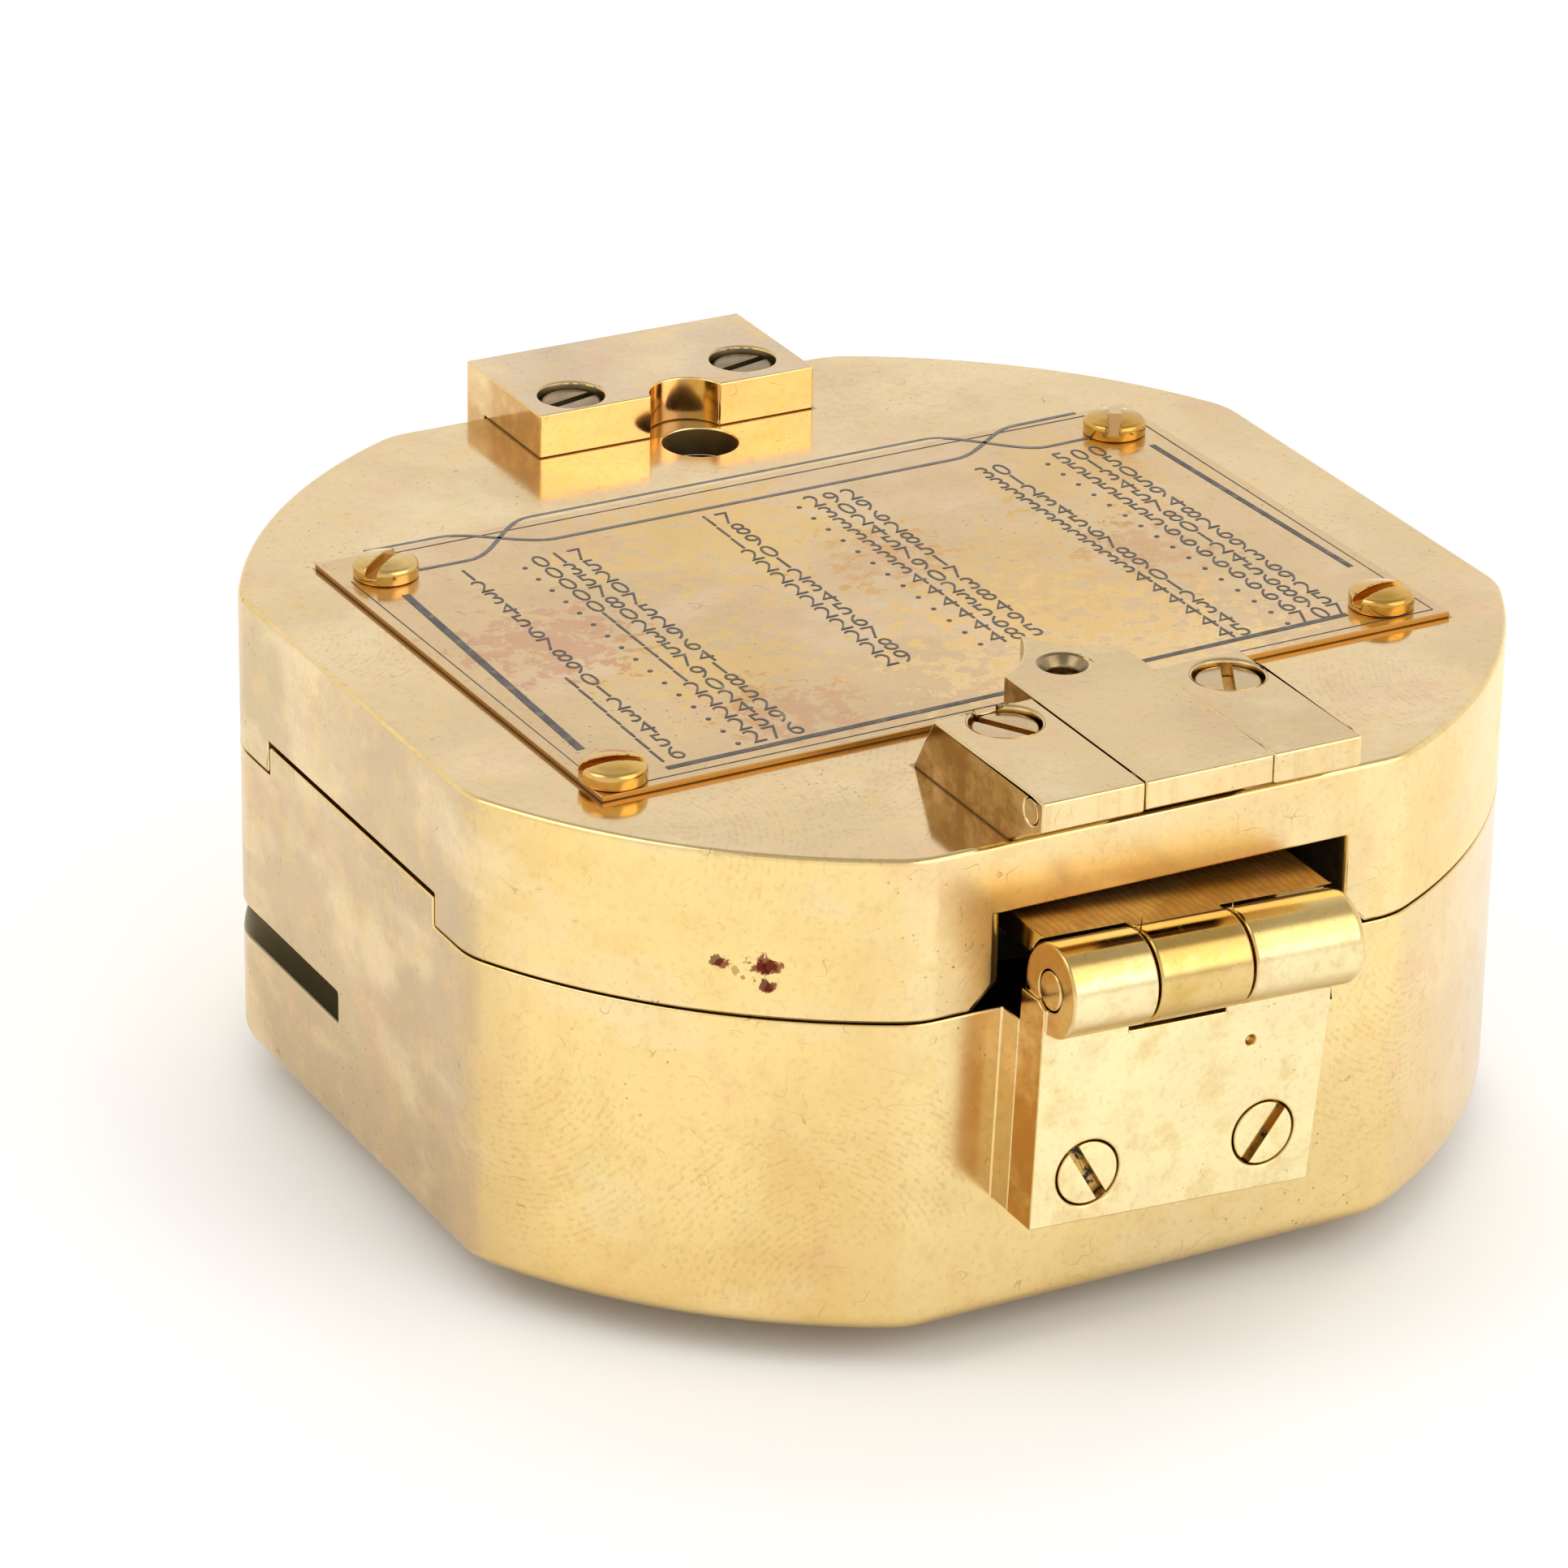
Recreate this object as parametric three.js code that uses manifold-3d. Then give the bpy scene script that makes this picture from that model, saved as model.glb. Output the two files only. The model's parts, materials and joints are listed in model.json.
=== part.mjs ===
// Pocket transit: a surveyor's folding compass and clinometer in a round brass case with four flats.
// Millimetres, +Z up. X runs along the hinge axes, -Y is the sight-arm side, +Y the lid-hinge side.
// Inside the group "instrument" z = 0 is the underside of the case; the lever under it lifts it.
import * as THREE from 'three';
import { mergeVertices } from 'three/addons/utils/BufferGeometryUtils.js';
import Module from 'manifold-3d';

const wasm = await Module();
wasm.setup();

// ---- driving dimensions -------------------------------------------------------------------
const LEVER_DROP = 2.4;          // how far the underside lever lifts the case
const FLAT = 37.5;               // centre to each flat of the case
const ROUND = 40.3;              // radius of the round stretches between the flats
const CASE_TOP = 32.6;           // top of the closed lid
const PARTING = 21.6;            // where body and lid meet
const PARTING_GAP = 0.15;
const TAB_TOP = 23.6;            // raised wall on the two side flats
const TAB_HALF = 12.3;
const TAB_GAP = 0.4;
const FLOOR = 2.5;               // base thickness
const LID_THICK = 2.0;
const BORE_LOW = 31.5;           // three steps of the bore in the body
const BORE_RING = 33.0;
const BORE_TOP = 34.5;
const RING_LEDGE = 13.0;
const GLASS_LEDGE = 18.3;
const SLOT_LOW = 8.3;            // tripod-clamp slots in the side flats
const SLOT_HIGH = 10.5;
const SLOT_START = 2.1;
const SLOT_END = 26.0;
const SLOT_DEPTH = 2.4;

const KNUCKLE = 3.0;             // hinge knuckle radius, both hinges
const PIN = 1.25;                // hinge pin radius
const KNUCKLE_GAP = 0.3;
const SIGHT_AXIS = { y: -42.4, z: 24.4 };
const LID_AXIS = { y: 42.4, z: 22.8 };
const PAD_FRONT = -39.5;         // the hinge plate sits on a pad of the same outline
const SIGHT_PLATE = { left: -11.05, right: 9.6, low: 8.15, front: -42.3, top: 20.9 };
const PLATE_CORNER = { x: 8.85, z: 7.75 };   // its lower right corner: the plate tapers
const SIGHT_TILT = 2.0;          // the arm hinge sits askew on its flat: degrees about Y, left end high
const TILT_CENTRE = -0.3;
const SIGHT_KNUCKLES = { left: -10.8, a: -4.8, b: 1.9, right: 10.0 };
const LID_KNUCKLES = { left: -9.8, a: -3.0, b: 4.4, right: 11.2 };
const WINDOW = { left: -11.3, right: 13.0, top: 27.8, chamfer: 1.6 };

const LEAF = { low: 25.6, high: 27.2, left: -10.5, right: 9.9, clear: 3.2 };
const ARM = { centre: -0.3, half: 5.5, tip: 12.2, slotHalf: 1.2 };
const PEEP_AXIS = { y: 11.0, z: 26.4 };
const PEEP = { low: 24.3, high: 25.2 };

// The small sight overhangs the front of the lid: its underside rises from the lip to the nose.
const BLOCK_TOP = 36.6;
const BLOCK = { left: -10.95, right: 11.5, front: -41.1, nose: 34.65, lip: -37.3, back: -27.7, foot: -25.25 };
const BLOCK_SKEW = 0.049;        // the back runs slightly out of square
const TONGUE = { left: -3.75, right: 5.2, tipX: 0.35, tipY: -18.6, shoulder: -23.7, low: 34.7 };
const TONGUE_EYE = { x: 0.5, y: -23.7, r: 1.0, sink: 1.65 };
const SMALL_AXIS = { y: -39.68, z: 35.56 };
const SMALL_PIN = 0.8;
const UPPER_LEAF = { left: -9.8, right: 11.2, front: 29.0, back: 40.4, top: 35.7 };
const SIGHT_HOLE = { x: 1.4, y: 27.0, r: 2.6 };

const TABLE = { x: 0.0, y: -1.05, width: 61.8, depth: 40.3, thick: 0.4, turn: 1.0 };
const HEAD = 2.3;                // table screw head radius
const FLUSH_HEAD = 2.1;          // sunk screw head radius
const SHANK = 1.1;
const CLEAR = 0.2;               // clearance of a shank or head in its hole
const LOCK = { angle: -Math.PI / 4, r: 37.4, pin: 1.1, fulcrum: 28.5 };

const SIDES = 14;                // facets of small round pieces
const RIM_SIDES = 48;            // facets of the large round pieces

// ---- materials ----------------------------------------------------------------------------
const metal = (color, roughness, metalness = 1) =>
  new THREE.MeshStandardMaterial({ color, roughness, metalness });
const polishedBrass = metal(0xd9b25c, 0.22);
const satinBrass = metal(0xc9ac72, 0.38);
const paleBrass = metal(0xd8c184, 0.3);
const screwBrass = metal(0xcfa24a, 0.2);
const blueSteel = metal(0x28344f, 0.25);
const steel = metal(0xb9bcc0, 0.25);
const silvered = metal(0xc8c8c2, 0.35);
const mirrorGlass = metal(0xe8ecee, 0.04);
const clearGlass = metal(0xeaf2f0, 0.03, 0);
const spirit = metal(0xc7d96a, 0.08, 0);

// ---- solids -------------------------------------------------------------------------------
function solid(geometry) {
  let bare = geometry.index ? geometry.toNonIndexed() : geometry.clone();
  bare.deleteAttribute('normal');
  bare.deleteAttribute('uv');
  bare = mergeVertices(bare, 1e-4);
  const vertProperties = new Float32Array(bare.attributes.position.array);
  const triVerts = new Uint32Array(bare.index.array);
  return new wasm.Manifold(new wasm.Mesh({ numProp: 3, vertProperties, triVerts }));
}

function box(x0, x1, y0, y1, z0, z1) {
  const geometry = new THREE.BoxGeometry(x1 - x0, y1 - y0, z1 - z0);
  return solid(geometry.translate((x0 + x1) / 2, (y0 + y1) / 2, (z0 + z1) / 2));
}

function post(x, y, r, z0, z1, sides = SIDES) {
  const geometry = new THREE.CylinderGeometry(r, r, z1 - z0, sides).rotateX(Math.PI / 2);
  return solid(geometry.translate(x, y, (z0 + z1) / 2));
}

function rod(x0, x1, y, z, r, sides = 20) {
  const geometry = new THREE.CylinderGeometry(r, r, x1 - x0, sides).rotateZ(Math.PI / 2);
  return solid(geometry.translate((x0 + x1) / 2, y, z));
}

// A profile of [radius, height] pairs turned about Z.
function turned(profile, sides = RIM_SIDES) {
  const points = profile.map(([r, z]) => new THREE.Vector2(r, z));
  return solid(new THREE.LatheGeometry(points, sides).rotateX(Math.PI / 2));
}

function ring(inner, outer, z0, z1, sides = RIM_SIDES) {
  return turned([[inner, z0], [outer, z0], [outer, z1], [inner, z1], [inner, z0]], sides);
}

function disc(r, z0, z1, sides = RIM_SIDES) {
  return turned([[0, z0], [r, z0], [r, z1], [0, z1]], sides);
}

function outline(points) {
  return new THREE.Shape(points.map(([x, y]) => new THREE.Vector2(x, y)));
}

function prism(shape, z0, z1, curveSegments = 8) {
  const geometry = new THREE.ExtrudeGeometry(shape, { depth: z1 - z0, bevelEnabled: false, curveSegments });
  return solid(geometry.translate(0, 0, z0));
}

function cut(base, ...tools) {
  return tools.reduce((result, tool) => result.subtract(tool), base);
}

function join(base, ...more) {
  return more.reduce((result, piece) => result.add(piece), base);
}

const instrument = new THREE.Group();
instrument.position.z = LEVER_DROP;
const group = new THREE.Group();
group.add(instrument);

function place(name, material, shape, x = 0, y = 0, z = 0, turn = 0) {
  const mesh = shape.getMesh();
  const geometry = new THREE.BufferGeometry();
  geometry.setAttribute('position', new THREE.BufferAttribute(mesh.vertProperties, 3));
  geometry.setIndex(new THREE.BufferAttribute(mesh.triVerts, 1));
  geometry.computeVertexNormals();
  const part = new THREE.Mesh(geometry, material);
  part.name = name;
  part.position.set(x, y, z);
  part.rotation.z = turn;
  instrument.add(part);
}

// ---- case outline: round, with four flats ---------------------------------------------------
function caseBlank(z0, z1, edge) {
  const half = Math.acos(FLAT / ROUND);
  const shape = new THREE.Shape();
  for (let side = 0; side < 4; side += 1) {
    const start = side * Math.PI / 2 + half;
    shape.absarc(0, 0, ROUND, start, start + Math.PI / 2 - 2 * half, false);
  }
  const geometry = new THREE.ExtrudeGeometry(shape, {
    depth: z1 - z0 - 2 * edge, curveSegments: 8,
    bevelThickness: edge, bevelSize: edge, bevelOffset: -edge, bevelSegments: 1 });
  return solid(geometry.translate(0, 0, z0 + edge));
}

// The tab on each side flat is left standing; `gap` widens it for the notch in the lid.
function sideTabs(z0, z1, gap) {
  const half = TAB_HALF + gap;
  const tabs = [-1, 1].map((side) => {
    const [x0, x1] = side < 0 ? [-FLAT - gap, -FLAT + 8] : [FLAT - 8, FLAT + gap];
    return box(x0, x1, -half, half, z0, z1);
  });
  return join(...tabs);
}

function screwAt([x, y], head, headLow, headHigh, shankLow, slotTurn, dome = 0) {
  const slotWidth = 0.35;
  const slotDepth = 0.6;
  const profile = [[0, shankLow], [SHANK, shankLow], [SHANK, headLow], [head, headLow],
    [head, headHigh - dome], [head * 0.72, headHigh - dome * 0.3], [0, headHigh]];
  const flat = [[0, shankLow], [SHANK, shankLow], [SHANK, headLow], [head, headLow],
    [head, headHigh], [0, headHigh]];
  const slot = box(-head - 1, head + 1, -slotWidth, slotWidth, headHigh - slotDepth, headHigh + 1);
  return cut(turned(dome ? profile : flat, SIDES), slot.rotate([0, 0, slotTurn]));
}

// Turns a piece of the sight-arm hinge with the hinge's tilt.
function tilted(shape) {
  const centred = shape.translate([-TILT_CENTRE, 0, -SIGHT_AXIS.z]);
  return centred.rotate([0, SIGHT_TILT, 0]).translate([TILT_CENTRE, 0, SIGHT_AXIS.z]);
}

// A sheet with the outline of the arm-hinge plate between y0 and y1, up to `high`.
function hingeSheet(y0, y1, high) {
  const { left, right, low } = SIGHT_PLATE;
  const face = outline([[left, low], [PLATE_CORNER.x, PLATE_CORNER.z], [right, high], [left, high]]);
  const geometry = new THREE.ExtrudeGeometry(face, { depth: y1 - y0, bevelEnabled: false });
  return solid(geometry.rotateX(Math.PI / 2).translate(0, y1, 0));
}

// ---- body ------------------------------------------------------------------------------------
const sightScrews = [[-7.15, 11.35, -58], [5.4, 11.6, 55]];      // x, z and slot turn in degrees
const lidLeafScrews = [[-5.6, 12.0, 35], [7.0, 12.0, -20]];
const HINGE_HEAD = 1.5;
const HINGE_SHANK_END = 34.0;

function yRod(x, z, r, y0, y1, sides = SIDES) {
  const geometry = new THREE.CylinderGeometry(r, r, y1 - y0, sides);
  return solid(geometry.translate(x, (y0 + y1) / 2, z));
}

function tripodSlot(side) {
  const [x0, x1] = side < 0 ? [-FLAT - 4, -FLAT + SLOT_DEPTH] : [FLAT - SLOT_DEPTH, FLAT + 4];
  return box(x0, x1, SLOT_START, SLOT_END, SLOT_LOW, SLOT_HIGH);
}

function lockWay() {
  const run = box(29, 38.9, -1.8, 1.8, 10.6, RING_LEDGE);
  const hole = post(LOCK.r, 0, LOCK.pin + CLEAR, 11, PARTING + 1, 12);
  return join(run, hole).rotate([0, 0, THREE.MathUtils.radToDeg(LOCK.angle)]);
}

function bodyCase() {
  const below = caseBlank(0, 40, 1.3).intersect(box(-50, 50, -50, 50, -1, PARTING));
  const tabs = caseBlank(0, 40, 1.3).intersect(sideTabs(PARTING - 2, TAB_TOP, 0));
  const pad = tilted(hingeSheet(PAD_FRONT, 2 - FLAT, PARTING + 2))
    .intersect(box(-50, 50, -50, 50, -1, PARTING));
  const bore = turned([[0, FLOOR], [BORE_LOW, FLOOR], [BORE_LOW, RING_LEDGE], [BORE_RING, RING_LEDGE],
    [BORE_RING, GLASS_LEDGE], [BORE_TOP, GLASS_LEDGE], [BORE_TOP, 30], [0, 30]]);
  const shanks = sightScrews.map(([x, z]) =>
    tilted(yRod(x, z, SHANK + CLEAR, -41, -HINGE_SHANK_END, 12)));
  const backShanks = lidLeafScrews.map(([x, z]) => yRod(x, z, SHANK + CLEAR, HINGE_SHANK_END, 41, 12));
  return cut(join(below, tabs, pad), bore, post(0, 0, 2.08, -1, FLOOR + 1, 24), tripodSlot(-1),
    tripodSlot(1), lockWay(), ...shanks, ...backShanks);
}

place('body_case', polishedBrass, bodyCase());

// ---- sight hinge on the front flat -----------------------------------------------------------
function outerKnuckles(axis, at, gap) {
  return join(rod(at.left, at.a - gap, axis.y, axis.z, KNUCKLE),
    rod(at.b + gap, at.right, axis.y, axis.z, KNUCKLE));
}

function sightPlate() {
  const { left, right, front, top } = SIGHT_PLATE;
  const gap = KNUCKLE_GAP / 2;
  const plate = hingeSheet(front, PAD_FRONT, top);
  const neckLeft = box(left, SIGHT_KNUCKLES.a - gap, front, PAD_FRONT, top - 1, 23.4);
  const neckRight = box(SIGHT_KNUCKLES.b + gap, right, front, PAD_FRONT, top - 1, 23.4);
  const bores = sightScrews.flatMap(([x, z]) => [
    yRod(x, z, FLUSH_HEAD + 0.12, front - 1, front + HINGE_HEAD),
    yRod(x, z, SHANK + CLEAR, front - 1, PAD_FRONT + 1, 12)]);
  const pinBore = rod(-20, 20, SIGHT_AXIS.y, SIGHT_AXIS.z, PIN + 0.1, 16);
  return cut(join(plate, neckLeft, neckRight, outerKnuckles(SIGHT_AXIS, SIGHT_KNUCKLES, gap)),
    ...bores, pinBore);
}

place('sight_hinge_plate', paleBrass, tilted(sightPlate()));
place('sight_hinge_pin', satinBrass,
  tilted(rod(SIGHT_KNUCKLES.left, SIGHT_KNUCKLES.right, SIGHT_AXIS.y, SIGHT_AXIS.z, PIN, 16)));

// A flush screw whose face looks along -Y (side -1) or +Y (side 1).
function wallScrew(side, x, z, face, slotTurn) {
  const blank = screwAt([0, 0], FLUSH_HEAD, face - HINGE_HEAD, face, HINGE_SHANK_END, slotTurn);
  return blank.rotate([side < 0 ? 90 : -90, 0, 0]).translate([x, 0, z]);
}

sightScrews.forEach(([x, z, turn], i) => {
  const name = `sight_hinge_screw_${['left', 'right'][i]}`;
  place(name, screwBrass, tilted(wallScrew(-1, x, z, -SIGHT_PLATE.front, turn)));
});

// ---- lid hinge on the back flat ----------------------------------------------------------------
const LEAF_FACE = 40.3;
const LEAF_INNER = FLAT;

function lidLowerLeaf() {
  const gap = KNUCKLE_GAP / 2;
  const { left, a, b, right } = LID_KNUCKLES;
  const plate = box(left, right, LEAF_INNER, LEAF_FACE, 8.0, 19.2);
  const necks = [[left, a - gap], [b + gap, right]].map(([x0, x1]) =>
    box(x0, x1, LEAF_INNER + 0.4, LEAF_FACE, 19, LID_AXIS.z - 0.6));
  const bores = lidLeafScrews.flatMap(([x, z]) => [
    yRod(x, z, FLUSH_HEAD + 0.12, LEAF_FACE - HINGE_HEAD, LEAF_FACE + 1),
    yRod(x, z, SHANK + CLEAR, LEAF_INNER - 1, LEAF_FACE + 1, 12)]);
  const pinBore = rod(-20, 20, LID_AXIS.y, LID_AXIS.z, PIN + 0.1, 16);
  return cut(join(plate, ...necks, outerKnuckles(LID_AXIS, LID_KNUCKLES, gap)), ...bores, pinBore);
}

place('lid_hinge_lower_leaf', paleBrass, lidLowerLeaf());
place('lid_hinge_pin', satinBrass,
  rod(LID_KNUCKLES.left, LID_KNUCKLES.right, LID_AXIS.y, LID_AXIS.z, PIN, 16));
lidLeafScrews.forEach(([x, z, turn], i) => {
  const name = `lid_hinge_lower_screw_${['left', 'right'][i]}`;
  place(name, screwBrass, wallScrew(1, x, z, LEAF_FACE, turn));
});

// ---- inside the body ---------------------------------------------------------------------------
const DIAL_TOP = 3.3;
const ARM_LOW = 3.6;
const ARM_HIGH = 4.6;
const RING = { inner: 28.6, outer: 32.8, low: RING_LEDGE, high: 15.8 };

place('dial_plate', silvered, ring(2.6, 31.2, FLOOR, DIAL_TOP));
place('azimuth_ring', silvered, turned([[RING.inner, RING.low], [RING.outer, RING.low],
  [RING.outer, RING.high], [RING.inner + 1.2, RING.high], [RING.inner, RING.high - 1.0],
  [RING.inner, RING.low]]));
place('crystal_glass', clearGlass, disc(34.2, GLASS_LEDGE, GLASS_LEDGE + 1.5));
place('crystal_ring', polishedBrass, ring(32.2, 34.3, GLASS_LEDGE + 1.6, 21.3));

const ROUND_LEVEL_Y = 15.0;
place('round_level_holder', paleBrass,
  turned([[0, DIAL_TOP], [5.2, DIAL_TOP], [5.2, 8.0], [4.5, 8.0], [4.5, 4.3], [0, 4.3]], 24),
  0, ROUND_LEVEL_Y);
place('round_level_vial', spirit,
  turned([[0, 4.4], [4.3, 4.4], [4.3, 7.9], [3.2, 8.3], [0, 8.5]], 24), 0, ROUND_LEVEL_Y);

// ---- clinometer: shaft through the base, level and vernier inside, lever outside -----------------
const SHAFT = 2.0;
const LEVEL_Y = -12.0;
place('clinometer_shaft', steel,
  turned([[0, -0.2], [SHAFT, -0.2], [SHAFT, 5.6], [0, 5.6]], 24));

function leverBlade() {
  const shape = new THREE.Shape();
  shape.absarc(0, 0, 7.0, Math.PI * 0.5 + 0.5, Math.PI * 2.5 - 0.5, false);
  shape.lineTo(3.0, 22.0);
  shape.absarc(0, 23.5, 3.4, 0, Math.PI, false);
  shape.lineTo(-3.0, 22.0);
  return cut(prism(shape, -LEVER_DROP, -0.3), post(0, 0, 1.2, -4, 1, 12), post(0, 0, 2.6, -4, -1.2));
}

place('clinometer_lever', polishedBrass, leverBlade());
const leverScrew = screwAt([0, 0], 2.4, 1.3, LEVER_DROP - 0.1, 0.4, 20).rotate([180, 0, 0]);
place('clinometer_lever_screw', screwBrass, leverScrew);

function vernierArm() {
  const shape = new THREE.Shape();
  shape.absarc(0, 0, 5.2, -0.25 * Math.PI, 1.25 * Math.PI, false);
  shape.lineTo(-3.6, -21);
  shape.absarc(0, 0, 26, Math.PI * 1.5 - 0.3, Math.PI * 1.5 + 0.3, false);
  shape.lineTo(3.6, -21);
  return cut(prism(shape, ARM_LOW, ARM_HIGH), post(0, 0, SHAFT + 0.1, 3, 6, 24));
}

place('vernier_arm', silvered, vernierArm());
const trough = box(-13, 13, LEVEL_Y - 3, LEVEL_Y + 3, ARM_HIGH, 7.6);
const channel = join(rod(-11.5, 11.5, LEVEL_Y, 7.5, 2.3, 20),
  box(-11.5, 11.5, LEVEL_Y - 2.3, LEVEL_Y + 2.3, 7.5, 9));
place('long_level_holder', paleBrass, cut(trough, channel));
place('long_level_vial', spirit, rod(-11.2, 11.2, LEVEL_Y, 7.6, 2.1, 20));
place('needle_pivot_post', steel,
  turned([[0, 5.7], [1.6, 5.7], [1.6, 6.3], [0.9, 6.6], [0.9, 12.2], [0.12, 15.0], [0, 15.0]], SIDES));

// ---- needle ----------------------------------------------------------------------------------
const NEEDLE_REACH = 27.2;
const NEEDLE_LOW = 14.2;

function needleBlade() {
  const waist = outline([[2.2, 0], [0.35, NEEDLE_REACH - 1], [0, NEEDLE_REACH], [-0.35, NEEDLE_REACH - 1],
    [-2.2, 0], [-0.35, 1 - NEEDLE_REACH], [0, -NEEDLE_REACH], [0.35, 1 - NEEDLE_REACH]]);
  const blade = join(prism(waist, NEEDLE_LOW, 14.8), post(0, 0, 3.6, NEEDLE_LOW, 14.8, 24));
  return cut(blade, post(0, 0, 2.35, 13, 16, 20));
}

place('needle_blade', blueSteel, needleBlade());
place('needle_cap', screwBrass, turned([[1.3, 12.6], [2.2, 12.6], [2.2, 15.6], [1.2, 16.4], [0, 16.4],
  [0, 15.7], [0.3, 15.6], [1.3, 13.2], [1.3, 12.6]], 20));
const wrap = cut(box(-1.7, 1.7, -15.5, -13.5, 13.6, 15.4), box(-1.35, 1.35, -17, -12, 14.0, 15.0));
place('needle_counterweight', paleBrass, wrap);

// ---- needle lifter and the pin that the lid presses ------------------------------------------------
const LIFTER_LOW = 11.6;
const LIFTER_HIGH = 12.2;
const lockDegrees = THREE.MathUtils.radToDeg(LOCK.angle);

function lifter() {
  const strip = box(3, 38.6, -1.4, 1.4, LIFTER_LOW, LIFTER_HIGH);
  const eye = post(0, 0, 4.6, LIFTER_LOW, LIFTER_HIGH, 24);
  return cut(join(strip, eye), post(0, 0, 1.6, 11, 13)).rotate([0, 0, lockDegrees]);
}

place('needle_lifter', steel, lifter());
const fulcrum = box(27.5, 31.0, -2.4, 2.4, DIAL_TOP, 11.3);
const fulcrumNose = solid(new THREE.CylinderGeometry(0.5, 0.5, 4.8, 12).translate(LOCK.fulcrum, 0, 11.0));
place('lifter_fulcrum', paleBrass, fulcrum.intersect(ring(20, 31.1, 0, 20)).subtract(
  box(29.2, 33, -3, 3, 10.9, 12)).add(fulcrumNose).rotate([0, 0, lockDegrees]));
place('needle_lock_pin', screwBrass, post(LOCK.r, 0, LOCK.pin, LIFTER_HIGH + 0.12, PARTING - 0.1, 16)
  .rotate([0, 0, lockDegrees]));

// ---- lid ------------------------------------------------------------------------------------------
const tableScrews = [[-27.9, 14.8, 37], [-28.7, -19.6, -11], [27.8, -17.8, 8], [27.3, 15.4, 58]];
const blockScrews = [[-7.0, -29.65, -59], [8.9, -29.65, 63]];
const leafScrews = [[-6.1, 31.7, 15], [7.5, 32.5, 15]];
const SHANK_END = 31.1;

function lidWindow() {
  const { left, right, top, chamfer } = WINDOW;
  const low = PARTING - 1;
  const level = PARTING + PARTING_GAP;
  const shape = outline([[left - chamfer - 1, low], [right + chamfer + 1, low],
    [right + chamfer, level], [right, level + chamfer], [right, top],
    [left, top], [left, level + chamfer], [left - chamfer, level]]);
  const geometry = new THREE.ExtrudeGeometry(shape, { depth: 12, bevelEnabled: false });
  return solid(geometry.rotateX(Math.PI / 2).translate(0, -30, 0));
}

function lidCase() {
  const blank = caseBlank(0, CASE_TOP, 0.4).intersect(box(-50, 50, -50, 50, PARTING + PARTING_GAP, 40));
  const shankHoles = [...tableScrews, ...blockScrews, ...leafScrews].map(([x, y]) =>
    post(x, y, SHANK + CLEAR, SHANK_END - 0.2, 40, 10));
  const hollow = disc(BORE_TOP, 0, CASE_TOP - LID_THICK);
  const hole = post(SIGHT_HOLE.x, SIGHT_HOLE.y, SIGHT_HOLE.r, 20, 40, 24);
  return cut(blank, hollow, sideTabs(PARTING - 1, TAB_TOP + TAB_GAP, 0.3), lidWindow(), hole,
    ...shankHoles);
}

place('lid_case', polishedBrass, lidCase());

function tablePlate() {
  const plate = box(-TABLE.width / 2, TABLE.width / 2, -TABLE.depth / 2, TABLE.depth / 2,
    CASE_TOP, CASE_TOP + TABLE.thick);
  const seated = plate.rotate([0, 0, TABLE.turn]).translate([TABLE.x, TABLE.y, 0]);
  return cut(seated, ...tableScrews.map(([x, y]) => post(x, y, SHANK + CLEAR, 30, 40, 10)));
}

place('table_plate', satinBrass, tablePlate());
const tableTop = CASE_TOP + TABLE.thick;
tableScrews.forEach(([x, y, turn], i) => {
  place(`table_screw_${i + 1}`, screwBrass,
    screwAt([x, y], HEAD, tableTop, tableTop + 1.4, SHANK_END, turn, 0.5), x, y);
});

// ---- small sight on the lid: two side blocks, pin and folding tongue ----------------------------------
const BLOCK_HEAD = 1.1;
const BLOCK_SINK = 0.35;

// The outline of the whole block between x0 and x1, before its holes.
function blockBlank(x0, x1) {
  const { left, front, nose, lip, back, foot } = BLOCK;
  const corners = [x0, x1].flatMap((x) => {
    const skew = (x - left) * BLOCK_SKEW;
    return [[x, foot + skew, CASE_TOP], [x, lip, CASE_TOP], [x, front, nose], [x, front, BLOCK_TOP],
      [x, back + skew, BLOCK_TOP]];
  });
  return wasm.Manifold.hull(corners);
}

function sightBlock(x0, x1) {
  const screws = blockScrews.flatMap(([x, y]) => [
    post(x, y, FLUSH_HEAD + 0.2, BLOCK_TOP - BLOCK_HEAD - BLOCK_SINK, BLOCK_TOP + 1, 24),
    post(x, y, SHANK + CLEAR, 30, BLOCK_TOP + 1, 10)]);
  const pinBore = rod(-20, 20, SMALL_AXIS.y, SMALL_AXIS.z, SMALL_PIN + 0.08, 16);
  return cut(blockBlank(x0, x1), ...screws, pinBore);
}

place('sight_block_left', satinBrass, sightBlock(BLOCK.left, TONGUE.left - 0.15));
place('sight_block_right', satinBrass, sightBlock(TONGUE.right + 0.15, BLOCK.right));
place('small_sight_pin', paleBrass, rod(BLOCK.left, BLOCK.right, SMALL_AXIS.y, SMALL_AXIS.z, SMALL_PIN, 16));
blockScrews.forEach(([x, y, turn], i) => {
  const top = BLOCK_TOP - BLOCK_SINK;
  place(`sight_block_screw_${['left', 'right'][i]}`, screwBrass,
    screwAt([x, y], FLUSH_HEAD, top - BLOCK_HEAD, top, SHANK_END, turn), x, y);
});

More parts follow.
